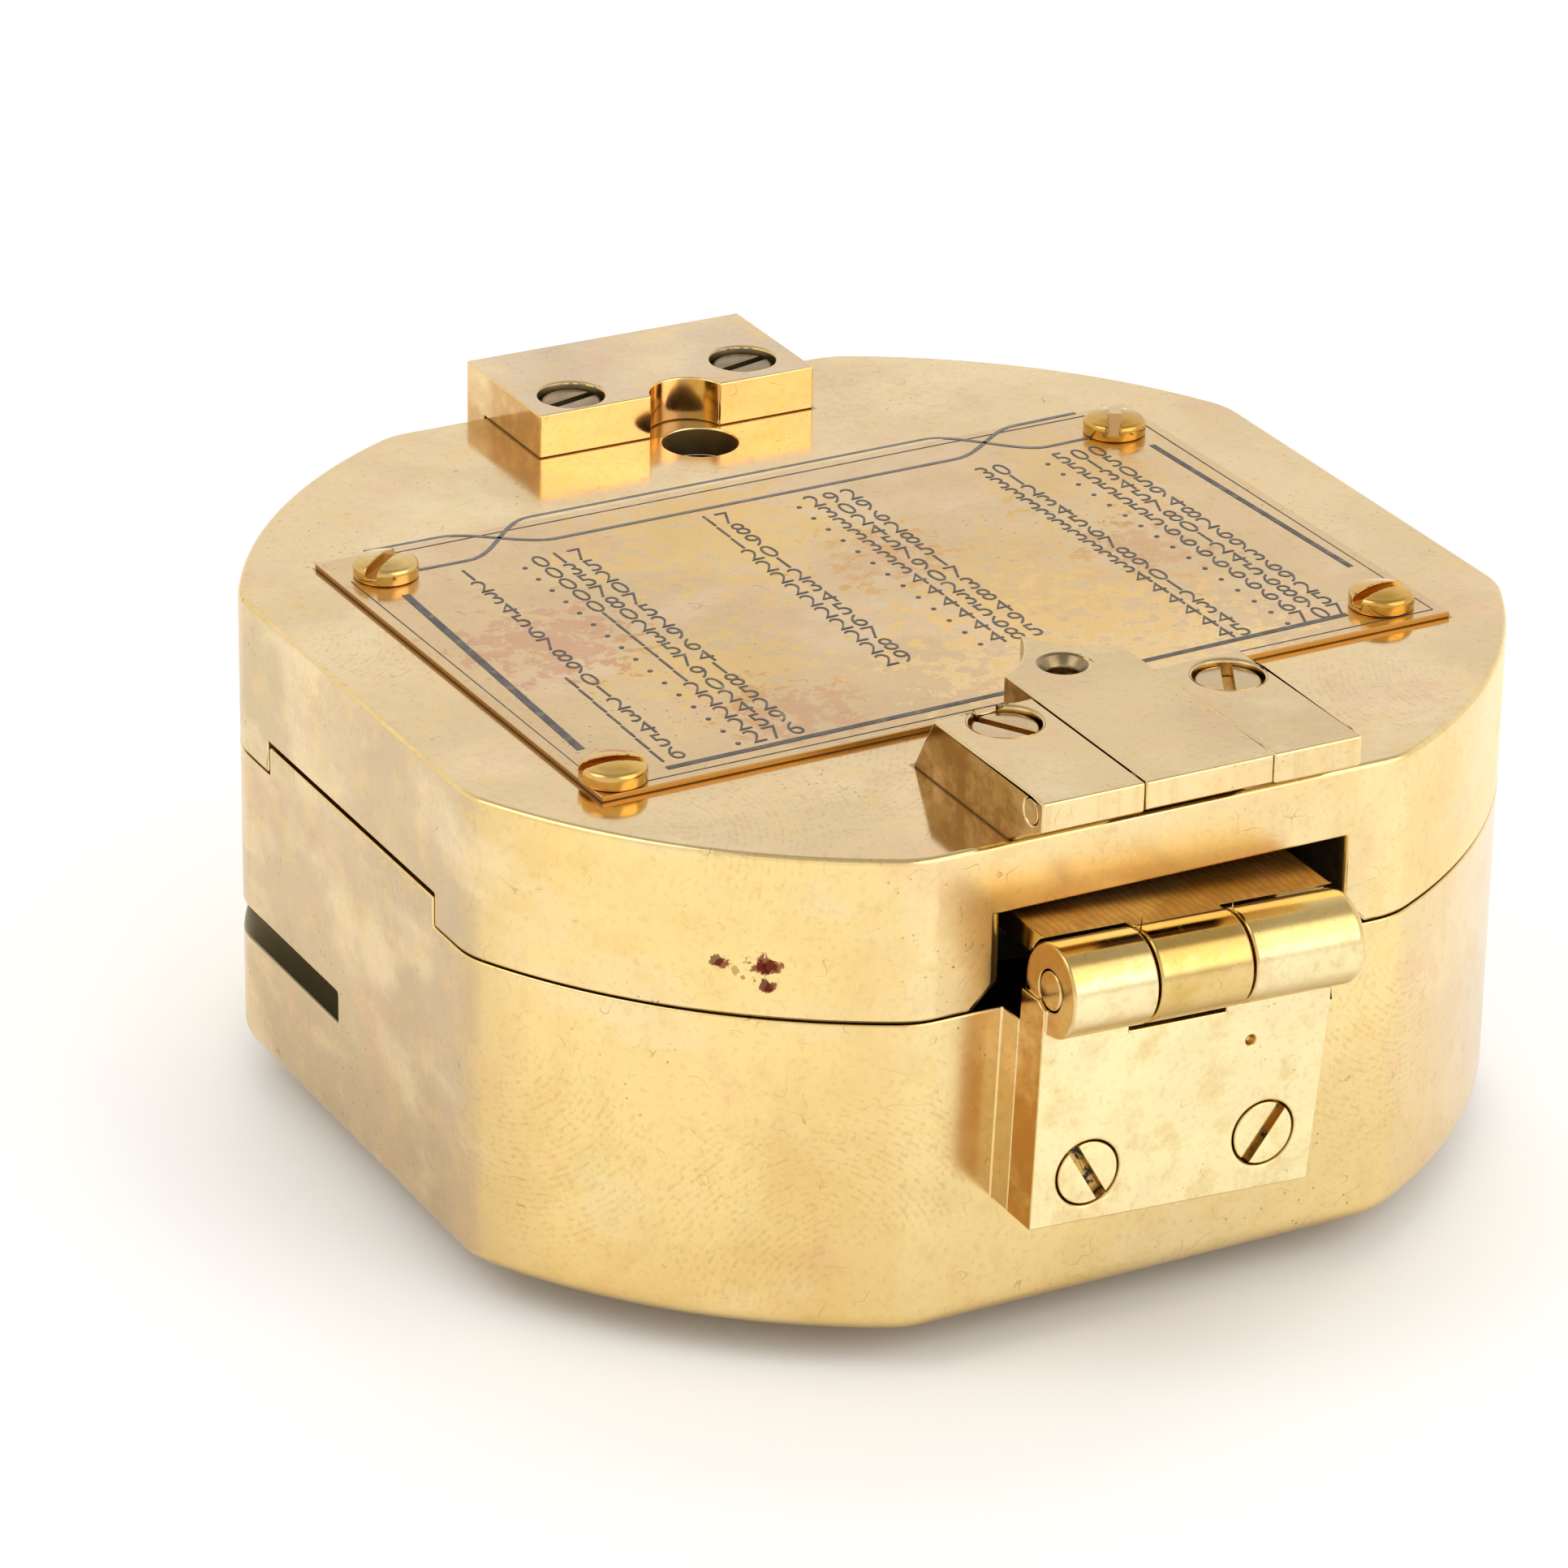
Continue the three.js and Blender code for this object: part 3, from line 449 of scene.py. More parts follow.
def brass(name, deep, warm, pale, gloss, top=None, left=None, front=None, pits=0.5, right=None,
          marks=(), foot_bands=(), stains=(), saw=False, ridged=False, worn=0.0):
    """Old brass: cloudy tone, painted light and shade by the way a face looks, painted shade on undersides,
    finger marks, pits, scratches and soiling.

    `deep`, `warm` and `pale` are its tones; `top`, `left`, `front` and `right` are painted light and shade,
    tones for faces that look that way; `worn` is extra roughness away from the top.
    """
    f = Finish(name)
    clouds = f.noise(55, 5, 0.6, distortion=0.6)
    mottle = f.noise(420, 5, 0.65)
    fine = f.noise(2300, 3, 0.6)
    tone = f.mix(f.band(clouds, 0.36, 0.64), linear(*deep), linear(*warm))
    facing = f.split(f.facing)
    # painted light and shade: faces that look up, left, forward or right take their own lighter or darker
    # tone in place of what they reflect
    painted_facing_tones = ((top, 2, 1, 0.82), (left, 0, -1, 0.82), (front, 1, -1, 0.82), (right, 0, 1, 0.2))
    for painted_face_tone, axis, sign, start in painted_facing_tones:
        if painted_face_tone:
            turned = f.band(f.times(facing[axis], sign), start, 0.98)
            shade = f.mix(f.band(clouds, 0.4, 0.62), linear(*painted_face_tone), linear(*[c * 0.955 for c in painted_face_tone]))
            tone = f.mix(turned, tone, shade)
    patches = ((85, 0.6, (1, 1, 1.6), 0.48, 0.66, 0.65, pale),
               (120, 0.65, (1.3, 1, 1), 0.54, 0.7, 0.3, PINK),
               (150, 0.65, (1, 1.2, 1), 0.55, 0.7, 0.2, GREEN))
    for scale, roughness, stretch, low, high, most, colour in patches:
        cloud = f.noise(scale, 5, roughness, f.stretched(*stretch))
        tone = f.mix(f.band(cloud, low, high, 0, most), tone, linear(*colour))
    tone = f.mix(f.band(mottle, 0.47, 0.68, 0, 0.4), tone, linear(*deep))
    # painted shade: faces that look downwards are darkened
    below = f.band(facing[2], -0.25, -0.85, 0, 0.6)
    tone = f.mix(below, tone, linear(*[c * 0.86 for c in deep]))
    tone = f.mix(f.band(fine, 0.5, 0.75, 0, 0.16), tone, linear(150, 116, 66))
    rough = f.band(clouds, 0.3, 0.7, gloss * 0.8, gloss * 1.3)
    rough = f.plus(rough, f.band(mottle, 0.5, 0.8, 0, 0.05))
    if worn:
        rough = f.plus(rough, f.band(facing[2], 0.7, 0.3, 0, worn))
    ridges = None
    for spot, centre, reach in marks:
        mark = f.finger_mark(spot, centre, reach)
        ridges = mark if ridges is None else f.math("MAXIMUM", ridges, mark)
    if ridges is not None:
        ridges = f.times(ridges, f.band(fine, 0.42, 0.6))
        tone = f.mix(f.times(ridges, 0.17), tone, linear(*RIDGE_DIRT))
        rough = f.plus(rough, f.times(ridges, 0.04))
    specks = f.band(f.cells(1300), 0.15, 0.06)
    holes = f.times(specks, f.band(f.noise(75, 3, 0.6), 0.5, 0.64, 0, pits))
    tone = f.mix(f.times(holes, 0.75), tone, linear(*PIT_DIRT))
    lines = f.band(f.waves(60, 30, detail_scale=3.0), 0.996, 0.9998)
    lines = f.times(lines, f.band(f.noise(520, 2, 0.5), 0.56, 0.64, 0, 0.35))
    tone = f.mix(lines, tone, linear(*SCRATCH_DIRT))
    upward = f.band(facing[2], 0.6, 0.9)
    # a dark band on upward faces along the foot of a fitted piece
    for x, y, half_x, half_y, turn, width, strength in foot_bands:
        gap = f.edge_of(x, y, half_x, half_y, turn)
        edge = f.band(f.math("SUBTRACT", gap, f.times(mottle, width)), width * 0.8, 0.0, 0, strength)
        edge = f.times(edge, upward)
        tone = f.mix(edge, tone, linear(*FOOT_BAND_TONE))
        rough = f.plus(rough, f.times(edge, 0.3))
    for x, y, z, reach, colour, strength in stains:
        ragged = f.plus(f.distance(x, y, z), f.band(f.noise(700, 4, 0.7), 0.2, 0.8, -reach, reach))
        spot = f.band(ragged, reach * 0.8, reach * 0.5, 0, strength)
        tone = f.mix(spot, tone, linear(*colour))
        rough = f.plus(rough, f.times(spot, 0.3))
    hair = f.noise(1500, 2, 0.5, f.stretched(1, 0.05, 1))
    cross_hair = f.noise(1300, 2, 0.5, f.stretched(0.06, 1, 0.5))
    normal = f.bump(hair, 0.07, 0.004)
    normal = f.bump(cross_hair, 0.07, 0.004, normal)
    normal = f.bump(f.math("SUBTRACT", 0, f.math("MAXIMUM", holes, lines)), 0.5, 0.02, normal)
    normal = f.bump(f.noise(120, 2, 0.4), 0.16, 0.05, normal)
    if ridged:
        tool = f.waves(560, 9, f.stretched(1, 0.5, 1), "X")
        tone = f.mix(f.band(tool, 0.35, 0.8, 0, 0.25), tone, linear(*[c * 0.7 for c in deep]))
        normal = f.bump(tool, 0.3, 0.03, normal)
    if saw:
        ahead = f.band(facing[1], -0.8, -0.97)
        strokes = f.noise(1600, 3, 0.6, f.stretched(1, 0.05, 0.02))
        tone = f.mix(f.times(ahead, f.band(strokes, 0.5, 0.72, 0, 0.3)), tone, linear(196, 160, 100))
        normal = f.bump(f.times(strokes, ahead), 0.25, 0.02, normal)
    return f.done(tone, rough, normal)


def dirt(name, bare, share):
    """Packed dark soiling with painted shade in slots, seats, grooves and creases, leaving some of the bare
    metal showing.
    """
    f = Finish(name)
    lump = f.band(f.noise(1000, 4, 0.65), 0.5 - share / 2, 0.62 - share / 2, 1, 0)
    lump = f.math("SUBTRACT", 1, lump)
    colour = f.mix(lump, linear(*PACKED_DIRT_AND_SHADE), linear(*bare))
    rough = f.band(lump, 0, 1, 0.6, 0.32)
    return f.done(colour, rough, f.bump(f.noise(2600, 3, 0.6), 0.5, 0.02), f.band(lump, 0, 1, 0.1, 1))


def steel(name, tone, gloss):
    f = Finish(name)
    clouds = f.noise(220, 4, 0.6)
    colour = f.mix(f.band(clouds, 0.35, 0.65), linear(*tone), linear(*[c * 0.86 for c in tone]))
    grain = f.noise(1800, 2, 0.5, f.stretched(0.06, 1, 1))
    return f.done(colour, f.band(grain, 0.3, 0.7, gloss * 0.8, gloss * 1.3), f.bump(grain, 0.15, 0.006))


def silvered(name):
    """Matt silvered scale metal, a little yellowed in patches."""
    f = Finish(name)
    clouds = f.noise(90, 4, 0.6)
    colour = f.mix(f.band(clouds, 0.45, 0.7), linear(214, 212, 204), linear(196, 186, 160))
    grain = f.noise(2600, 2, 0.6)
    return f.done(colour, f.band(grain, 0.3, 0.7, 0.3, 0.42), f.bump(grain, 0.2, 0.004))


def mirror_glass(name):
    f = Finish(name)
    haze = f.noise(150, 3, 0.6)
    colour = f.mix(f.band(haze, 0.5, 0.75), linear(236, 239, 240), linear(214, 219, 219))
    return f.done(colour, f.band(haze, 0.4, 0.75, 0.015, 0.06))


def clear(name, tint, alpha):
    """Clear glass or spirit: a thin tint that lets what lies below show through."""
    f = Finish(name)
    smear = f.noise(130, 3, 0.5)
    colour = f.mix(f.band(smear, 0.4, 0.7), linear(*tint), linear(*[c * 0.95 for c in tint]))
    f.shader.inputs["Alpha"].default_value = alpha
    f.shader.inputs["IOR"].default_value = 1.5
    return f.done(colour, f.band(smear, 0.4, 0.7, 0.02, 0.07), None, 0.0)


def enamel(name, tone):
    """The dark filling of engraved lines and figures, worn thin in places."""
    f = Finish(name)
    worn = f.band(f.noise(700, 4, 0.7), 0.55, 0.72, 0, 0.55)
    colour = f.mix(worn, linear(*tone), linear(150, 128, 92))
    return f.done(colour, f.band(f.noise(900), 0.3, 0.7, 0.35, 0.6), None, 0.15)


# finger marks: where each one is, the centre of its ridges, and its reach, in case-frame millimetres
SIDE_MARKS = (((-33, -22, 10), (-38, -20, 18), 9), ((-25, -31, 8), (-20, -36, 1), 8),
              ((-30, -27, 27), (-36, -24, 34), 7), ((-18, -36, 12), (-24, -36, 4), 7),
              ((16, -37, 12), (20, -38, 20), 8), ((-37, -6, 27), (-38, -12, 36), 8))
LID_MARKS = (((-22, -27, 32), (-32, -26, 32), 9), ((-6, -29, 32), (-2, -40, 32), 9),
             ((-14, -26, 32), (-20, -18, 32), 7), ((20, -29, 32), (30, -30, 32), 8),
             ((-33, 4, 32), (-40, 10, 32), 7), ((16, 28, 32), (22, 36, 32), 8))
# a dark band on the lid along the foot of a fitted piece: its x, y, half sizes and turn, then the width and
# strength
TABLE_FOOT_BAND = (TABLE.x, TABLE.y, TABLE.width / 2, TABLE.depth / 2, TABLE_TURN, 0.2, 0.5)
SIGHT_FOOT_BAND = (0.3, -31.25, 11.25, 6.05, 0.0, 0.2, 0.5)
LEAF_FOOT_BAND = (0.7, 34.9, 10.5, 5.9, 0.0, 0.2, 0.5)
# stains: x, y, z, reach, colour and strength
RUST = (126, 48, 32)
BURNT = (104, 50, 44)
LID_STAINS = ((-27.32, -30.8, 25.31, 0.42, BURNT, 0.8), (-27.01, -31.07, 25.03, 0.42, RUST, 0.85),
              (-26.47, -31.53, 24.68, 0.3, (186, 128, 72), 0.6),
              (-26.05, -31.88, 24.31, 0.3, (180, 100, 50), 0.7),
              (-25.51, -32.31, 25.04, 0.62, RUST, 0.85), (-25.12, -32.62, 25.25, 0.78, RUST, 0.85),
              (-24.61, -33.01, 25.2, 0.55, RUST, 0.8), (-25.5, -32.32, 24.22, 0.5, BURNT, 0.85),
              (-25.03, -32.69, 24.11, 0.6, BURNT, 0.9), (-24.63, -32.99, 24.05, 0.5, RUST, 0.85))
# the top, left, front and right tones below are painted light and shade on faces that look that way
BODY_BRASS = brass("body_brass", (228, 194, 126), (243, 213, 145), (240, 216, 168), 0.15,
                   left=(207, 180, 138), front=(242, 215, 152), right=(232, 211, 182), marks=SIDE_MARKS,
                   pits=0.8, worn=0.07)
LID_BRASS = brass("lid_brass", (230, 197, 128), (244, 214, 146), (238, 214, 168), 0.12, top=(229, 201, 153),
                  left=(208, 182, 140), front=(243, 218, 162), marks=LID_MARKS, pits=0.9, worn=0.16,
                  foot_bands=(TABLE_FOOT_BAND, SIGHT_FOOT_BAND, LEAF_FOOT_BAND), stains=LID_STAINS)
CASE_BRASS = brass("case_brass", (226, 190, 118), (240, 208, 136), (238, 214, 168), 0.15,
                   top=(226, 198, 152))
PLATE_BRASS = brass("plate_brass", (212, 176, 104), (228, 198, 128), (238, 218, 170), 0.16, pits=0.5,
                    left=(184, 134, 68), front=(250, 232, 178))
BLOCK_BRASS = brass("block_brass", (224, 194, 134), (240, 214, 152), (232, 210, 166), 0.2,
                    top=(220, 192, 144), left=(152, 114, 52), front=(244, 214, 158), pits=0.5, saw=True)
LEAF_BRASS = brass("leaf_brass", (232, 192, 110), (246, 210, 130), (238, 212, 160), 0.14,
                   front=(242, 196, 146), top=(220, 194, 158), left=(196, 150, 84), pits=0.5)
TABLE_STAINS = ((-5.7, 11.2, 33, 11.0, (238, 200, 120), 0.6), (-15.9, -8.0, 33, 8.0, (238, 200, 122), 0.55),
                (9.0, -6.0, 33, 12.0, (234, 194, 120), 0.55), (22.0, 10.0, 33, 8.0, (230, 190, 118), 0.5),
                (-23.2, 0.5, 33, 6.5, (206, 148, 118), 0.5), (-14.0, -15.5, 33, 5.0, (206, 148, 114), 0.4),
                (8.0, -17.0, 33, 14.0, (248, 214, 152), 0.75), (19.0, -3.0, 33, 5.0, (204, 150, 116), 0.35),
                (2.0, 3.0, 33, 5.0, (206, 154, 118), 0.3))
TABLE_BRASS = brass("table_brass", (212, 178, 120), (224, 194, 144), (226, 196, 160), 0.16, pits=0.9,
                    top=(218, 186, 138), stains=TABLE_STAINS)
SCREW_BRASS = brass("screw_brass", (198, 152, 68), (222, 180, 96), (232, 202, 138), 0.15, pits=0.3)
KNUCKLE_BRASS = brass("knuckle_brass", (200, 160, 84), (218, 184, 106), (228, 202, 138), 0.12, pits=0.3)
TOOLED_BRASS = brass("tooled_brass", (150, 106, 42), (196, 146, 66), (222, 186, 116), 0.42, pits=0.9,
                     ridged=True)
HEAD_BRASS = brass("head_brass", (184, 156, 108), (204, 178, 132), (212, 188, 148), 0.2,
                   top=(202, 176, 132), pits=0.6)
DARK_BRASS = brass("dark_brass", (124, 104, 74), (160, 138, 104), (190, 168, 128), 0.24, pits=0.8)
# packed soiling and painted shade for slots, seats, grooves and the table plate's sides
SLOT_DIRT_AND_SHADE = dirt("slot_dirt_and_shade", (206, 168, 96), 0.3)
EDGE_DIRT_AND_SHADE = dirt("edge_dirt_and_shade", (172, 126, 64), 0.85)
BROWN_DIRT_AND_SHADE = dirt("brown_dirt_and_shade", (190, 140, 62), 0.75)
GROOVE_DIRT_AND_SHADE = dirt("groove_dirt_and_shade", (150, 140, 112), 0.5)
STEEL = steel("steel", (186, 188, 192), 0.22)
BLUE_STEEL = steel("blue_steel", (44, 58, 96), 0.2)
SILVERED = silvered("silvered_scale")
MIRROR = mirror_glass("mirror_glass")
CRYSTAL = clear("crystal", (240, 246, 246), 0.12)
SPIRIT = clear("level_spirit", (206, 222, 92), 0.72)
BLACK_FILL = enamel("black_fill", (76, 69, 64))
GREY_FILL = enamel("grey_fill", (100, 94, 90))


# ---- case outline ----
def case_outline(inset):
    """Round with four flats, moved in by `inset`; each flat meets the round in a small arc."""
    flat = FLAT - inset
    radius = ROUND - inset
    corner = max(CORNER - inset, 0.05)
    turn = degrees(acos((flat - corner) / (radius - corner)))
    hub = radius - corner
    points = []
    for side in range(4):
        start = 90 * side
        stop = start + 90
        points += arc(*polar(hub, radians(start + turn)), corner, start, start + turn, 7)
        points += arc(0, 0, radius, start + turn, stop - turn, 48)[1:-1]
        points += arc(*polar(hub, radians(stop - turn)), corner, stop - turn, stop, 7)
    return points


def case_solid(levels):
    """A closed solid whose outline is the case's, moved in by `inset` at each (z, inset)."""
    return loft([[(x, y, z) for x, y in case_outline(inset)] for z, inset in levels])


def rounding(radius, z, side, steps=6):
    """Levels of a rounded edge: side 1 rounds below z upwards to z, side -1 from z upwards."""
    turns = quarter(steps)
    if side > 0:
        return [(z - radius * (1 - sin(t)), radius * (1 - cos(t))) for t in turns]
    return [(z + radius * (1 - cos(t)), radius * (1 - sin(t))) for t in turns]


def bore(first, steps):
    """A stepped hollow from height `first` upwards."""
    profile = [(0, first)]
    low = first
    for radius, high in steps:
        profile += [(radius, low), (radius, high)]
        low = high
    return lathe(profile + [(0, low)], RIM_SEGMENTS)


# ---- body ----
PLATE = Sizes(left=-11.05, right=9.6, low=8.15, front=-42.3, top=20.9, corner=(8.85, 7.75))
PAD_FRONT = -39.5


def hinge_sheet(y0, y1, high):
    """A sheet with the outline of the arm-hinge plate between y0 and y1, up to `high`."""
    p = PLATE
    outline = [(p.left, p.low), p.corner, (p.right, high), (p.left, high)]
    return loft([[(x, y, z) for x, z in outline] for y in (y1, y0)])


def tripod_slot(side):
    """A groove in a side flat, for the forks of a tripod clamp."""
    x0, x1 = (-FLAT - 4, -FLAT + SLOT.depth) if side < 0 else (FLAT - SLOT.depth, FLAT + 4)
    return slab(x0, x1, SLOT.start, SLOT.end, SLOT.low, SLOT.high)


def make_body():
    blank = case_solid(rounding(FOOT_EDGE, 0, -1) + [(TAB_TOP, 0)])
    pad = cut(leaned(hinge_sheet(PAD_FRONT, 3 - FLAT, PARTING + 2)), slab(-50, 50, -50, 50, PARTING, 40))
    above = [slab(-50, 50, TAB_HALF, 50, PARTING, 40), slab(-50, 50, -50, -TAB_HALF, PARTING, 40),
             slab(-FLAT + 8, FLAT - 8, -20, 20, PARTING, 40)]
    lock_hole = moved(post(1.3, 11, 30), *polar(LOCK_OUT, LOCK_TURN))
    lock_way = moved(slab(29, 38.9, -1.8, 1.8, 10.6, BORES[0][1]), turn=LOCK_TURN)
    shell = cut(join(blank, pad), *above)
    shell = cut(shell, bore(FLOOR, BORES), post(2.08, -1, FLOOR + 1), tripod_slot(-1), tripod_slot(1),
                lock_hole, lock_way)

    def in_groove(centre, normal):
        sunk = FLAT - SLOT.depth - 0.1 < abs(centre.x) < FLAT - 0.05
        return sunk and abs(centre.y) < SLOT.end and SLOT.low - 0.01 < centre.z < SLOT.high + 0.01

    # the tripod groove takes packed soiling and painted shade
    piece("body_case", soiled(shell, in_groove), "case", BODY_BRASS,
          name="case_body_fine", bevel=0.14, second=GROOVE_DIRT_AND_SHADE)


# ---- hinges ----
def knuckle(x0, x1, axis, end=0.22):
    """A hinge barrel with softened ends."""
    return along_x(rounded_post(KNUCKLE, x0, x1, end, 72, 0.22), axis.y, axis.z)


def hinge_pin(x0, x1, axis):
    return along_x(rounded_post(PIN, x0, x1, 0.15, SEGMENTS, 0.15), axis.y, axis.z)


def screw_piece(node, shape, body, material, second):
    piece(node, shape, body, material, bevel=0.05, second=second)


def slotted(shape, top, turn, half_width, depth, head):
    """A screwdriver slot across a head that faces +Z; its faces take packed soiling and painted shade."""
    tool = moved(slab(-head - 1, head + 1, -half_width, half_width, top - depth, top + 1), turn=turn)
    across = Vector((-sin(turn), cos(turn)))

    def in_slot(centre, normal):
        return abs(centre.xy.dot(across)) < half_width + 0.01 and centre.z < top - 0.05 and (
            normal.z > 0.9 or abs(normal.xy.dot(across)) > 0.9)

    return soiled(cut(shape, tool), in_slot)


def flat_screw(head, head_low, top, shank_low, turn, edge=0.12):
    steps = rounded_post(head, head_low, top, edge)
    return slotted(join(steps, post(SHANK, shank_low, head_low + 0.3, 24)), top, radians(turn),
                   0.36, 0.75, head)


def domed_screw(head, low, top, shank_low, turn):
    """A cheese head: straight side, rounded rim and a slightly crowned top."""
    crown = 0.28
    rim = 0.42
    profile = [(0, shank_low), (SHANK, shank_low), (SHANK, low), (head - 0.1, low), (head, low + 0.1)]
    profile += [(head - rim * (1 - cos(t)), top - crown - rim * (1 - sin(t))) for t in quarter(6)]
    for i in range(1, 6):
        r = (head - rim) * (1 - i / 6)
        profile.append((r, top - crown * (r / (head - rim)) ** 2))
    profile.append((0, top))
    return slotted(lathe(profile, 64), top - crown, radians(turn), 0.42, 0.62, head)


def wall_screw(side, x, z, face, turn):
    """A flush screw that looks along -Y (side -1) or +Y (side 1)."""
    shape = flat_screw(FLUSH_HEAD, face - 1.5, face, 34.0, turn)
    return turned(shape, (x, 0, z), -side * pi / 2, "X")


def screw_seat(x, z, face, side):
    """The hole that a wall screw's head sits in, with a broken edge."""
    radius = FLUSH_HEAD + 0.1
    profile = [(0, -1.6), (radius, -1.6), (radius, -SEAT_RIM), (radius + SEAT_RIM + 0.6, 0.6), (0, 0.6)]
    return turned(lathe(profile), (x, side * face, z), -side * pi / 2, "X")


SIGHT_SCREWS = ((-7.15, 11.35, -58, "left"), (5.4, 11.6, 55, "right"))
BACK_SCREWS = ((-5.6, 12.0, 35, "left"), (7.0, 12.0, -20, "right"))
SIGHT_KNUCKLES = (-10.8, -4.8, 1.9, 10.0)
LID_KNUCKLES = (-9.8, -3.0, 4.4, 11.2)
DIMPLE = (3.95, PLATE.front, 18.25)


def make_sight_hinge():
    left, a, b, right = SIGHT_KNUCKLES
    gap = KNUCKLE_GAP / 2
    p = PLATE
    shape = join(hinge_sheet(p.front, PAD_FRONT, p.top),
                 slab(p.left, a - gap, p.front, PAD_FRONT, p.top - 1, 23.4),
                 slab(b + gap, p.right, p.front, PAD_FRONT, p.top - 1, 23.4))
    shape = join(shape, knuckle(left, a - gap, SIGHT_AXIS), knuckle(b + gap, right, SIGHT_AXIS, 0.7))
    pit = lathe([(0, -0.5), (0.2, -0.45), (0.38, 0.0), (0.42, 0.4), (0, 0.4)], 24)
    dimple = turned(pit, DIMPLE, pi / 2, "X")
    seats = [screw_seat(x, z, -p.front, -1) for x, z, _, _ in SIGHT_SCREWS]
    relief = slab(a - gap, b + gap, p.front - 1, PAD_FRONT + 1, p.top - 0.3, p.top + 1)
    shape = cut(shape, rod(-20, 20, SIGHT_AXIS, PIN + 0.1), dimple, relief, *seats)

    # painted shade with packed soiling: under the barrel, in the screw seats and in the dimple
    def dirty(centre, normal):
        under_barrel = a - gap - 0.01 < centre.x < b + gap + 0.01 and centre.z > p.top - 0.5
        in_seat = p.front + 0.1 < centre.y < p.front + 2 and abs(centre.x) < 9.4
        in_dimple = (centre - Vector(DIMPLE)).length < 0.6 and normal.y > -0.99
        level = normal.z > 0.9 or abs(normal.x) > 0.9
        return under_barrel and level or in_seat and 8.8 < centre.z < p.top - 1 or in_dimple

    piece("sight_hinge_plate", leaned(soiled(shape, dirty)), "case", PLATE_BRASS,
          second=SLOT_DIRT_AND_SHADE)
    pin = hinge_pin(left, right, SIGHT_AXIS)
    piece("sight_hinge_pin", leaned(pin), "case", PLATE_BRASS, bevel=0)
    for x, z, turn, side in SIGHT_SCREWS:
        shape = leaned(wall_screw(-1, x, z, -p.front, turn))
        screw_piece(f"sight_hinge_screw_{side}", shape, "case", PLATE_BRASS, SLOT_DIRT_AND_SHADE)


def make_lower_leaf():
    leaf = span("lid_hinge_lower_leaf")
    left, a, b, right = LID_KNUCKLES
    gap = KNUCKLE_GAP / 2
    face = 40.3
    shape = join(slab(left, right, FLAT, face, leaf.z0, 19.2),
                 slab(left, a - gap, FLAT + 0.4, face, 19, LID_AXIS.z - 0.6),
                 slab(b + gap, right, FLAT + 0.4, face, 19, LID_AXIS.z - 0.6))
    shape = join(shape, knuckle(left, a - gap, LID_AXIS), knuckle(b + gap, right, LID_AXIS))
    seats = [screw_seat(x, z, face, 1) for x, z, _, _ in BACK_SCREWS]
    shape = cut(shape, rod(-20, 20, LID_AXIS, PIN + 0.1), *seats)
    piece("lid_hinge_lower_leaf", shape, "case", PLATE_BRASS)
    pin = hinge_pin(left, right, LID_AXIS)
    piece("lid_hinge_pin", pin, "case", KNUCKLE_BRASS, bevel=0)
    for x, z, turn, side in BACK_SCREWS:
        shape = wall_screw(1, x, z, face, turn)
        screw_piece(f"lid_hinge_lower_screw_{side}", shape, "case", SCREW_BRASS, SLOT_DIRT_AND_SHADE)


def top_seat(x, y, top, radius, depth):
    """A counterbore from above with a broken edge."""
    profile = [(0, top - depth), (radius, top - depth), (radius, top - SEAT_RIM),
               (radius + SEAT_RIM + 0.8, top + 0.8), (0, top + 0.8)]
    return moved(lathe(profile), x, y)


def in_any_seat(screws, radius, top):
    """A test for faces inside the counterbores of some (x, y, turn, side) screws."""
    spots = [Vector(row[:2]) for row in screws]
    return lambda centre, normal: centre.z < top - 0.15 and any(
        (centre.xy - spot).length < radius for spot in spots)


UPPER_LEAF = Sizes(left=-9.8, right=11.2, front=29.0, back=40.4, top=35.7)
LEAF_SCREWS = ((-6.1, 31.7, 15, "left"), (7.5, 32.5, 15, "right"))


def make_upper_leaf():
    u = UPPER_LEAF
    _, a, b, _ = LID_KNUCKLES
    gap = KNUCKLE_GAP / 2
    shape = join(slab(u.left, u.right, u.front, u.back, CASE_TOP, u.top),
                 slab(u.left, u.right, FLAT + 0.3, u.back, 26.3, CASE_TOP + 1),
                 slab(a + gap, b - gap, FLAT + 0.3, u.back, LID_AXIS.z, 27),
                 knuckle(a + gap, b - gap, LID_AXIS))
    x = SIGHT_HOLE.x - 0.1
    notch = join(moved(post(2.65, 30, 40, 72), x, 28.6), slab(x - 2.65, x + 2.65, 27, 28.6, 30, 40))
    seats = [top_seat(sx, sy, u.top, FLUSH_HEAD + 0.2, 1.9) for sx, sy, _, _ in LEAF_SCREWS]
    shape = cut(shape, notch, rod(-20, 20, LID_AXIS, PIN + 0.1), *seats)

    shape = soiled(shape, in_any_seat(LEAF_SCREWS, FLUSH_HEAD + 0.25, u.top))
    piece("lid_hinge_upper_leaf", shape, "lid", LEAF_BRASS, bevel=0.12,
          second=GROOVE_DIRT_AND_SHADE)
    for sx, sy, turn, side in LEAF_SCREWS:
        top = u.top - 0.4
        shape = moved(flat_screw(FLUSH_HEAD, top - 1.5, top, SHANK_END, turn, 0.3), sx, sy)
        screw_piece(f"lid_hinge_upper_screw_{side}", shape, "lid", DARK_BRASS, GROOVE_DIRT_AND_SHADE)


# ---- lid ----
def window_loop(y, grow):
    """The outline of the sight-arm window at depth y, grown by a share of its edge rounding."""
    w = WINDOW
    low = LID_LOW - 1
    left = w.left - grow * w.flare
    right = w.right + grow * w.top_flare
    high = w.top + grow * w.top_flare
    points = [(left - w.chamfer - 1, low), (right + w.chamfer + 1, low), (right + w.chamfer, LID_LOW),
              (right, LID_LOW + w.chamfer), (right, high), (left, high), (left, LID_LOW + w.chamfer),
              (left - w.chamfer, LID_LOW)]
    return [(x, y, z) for x, z in points]


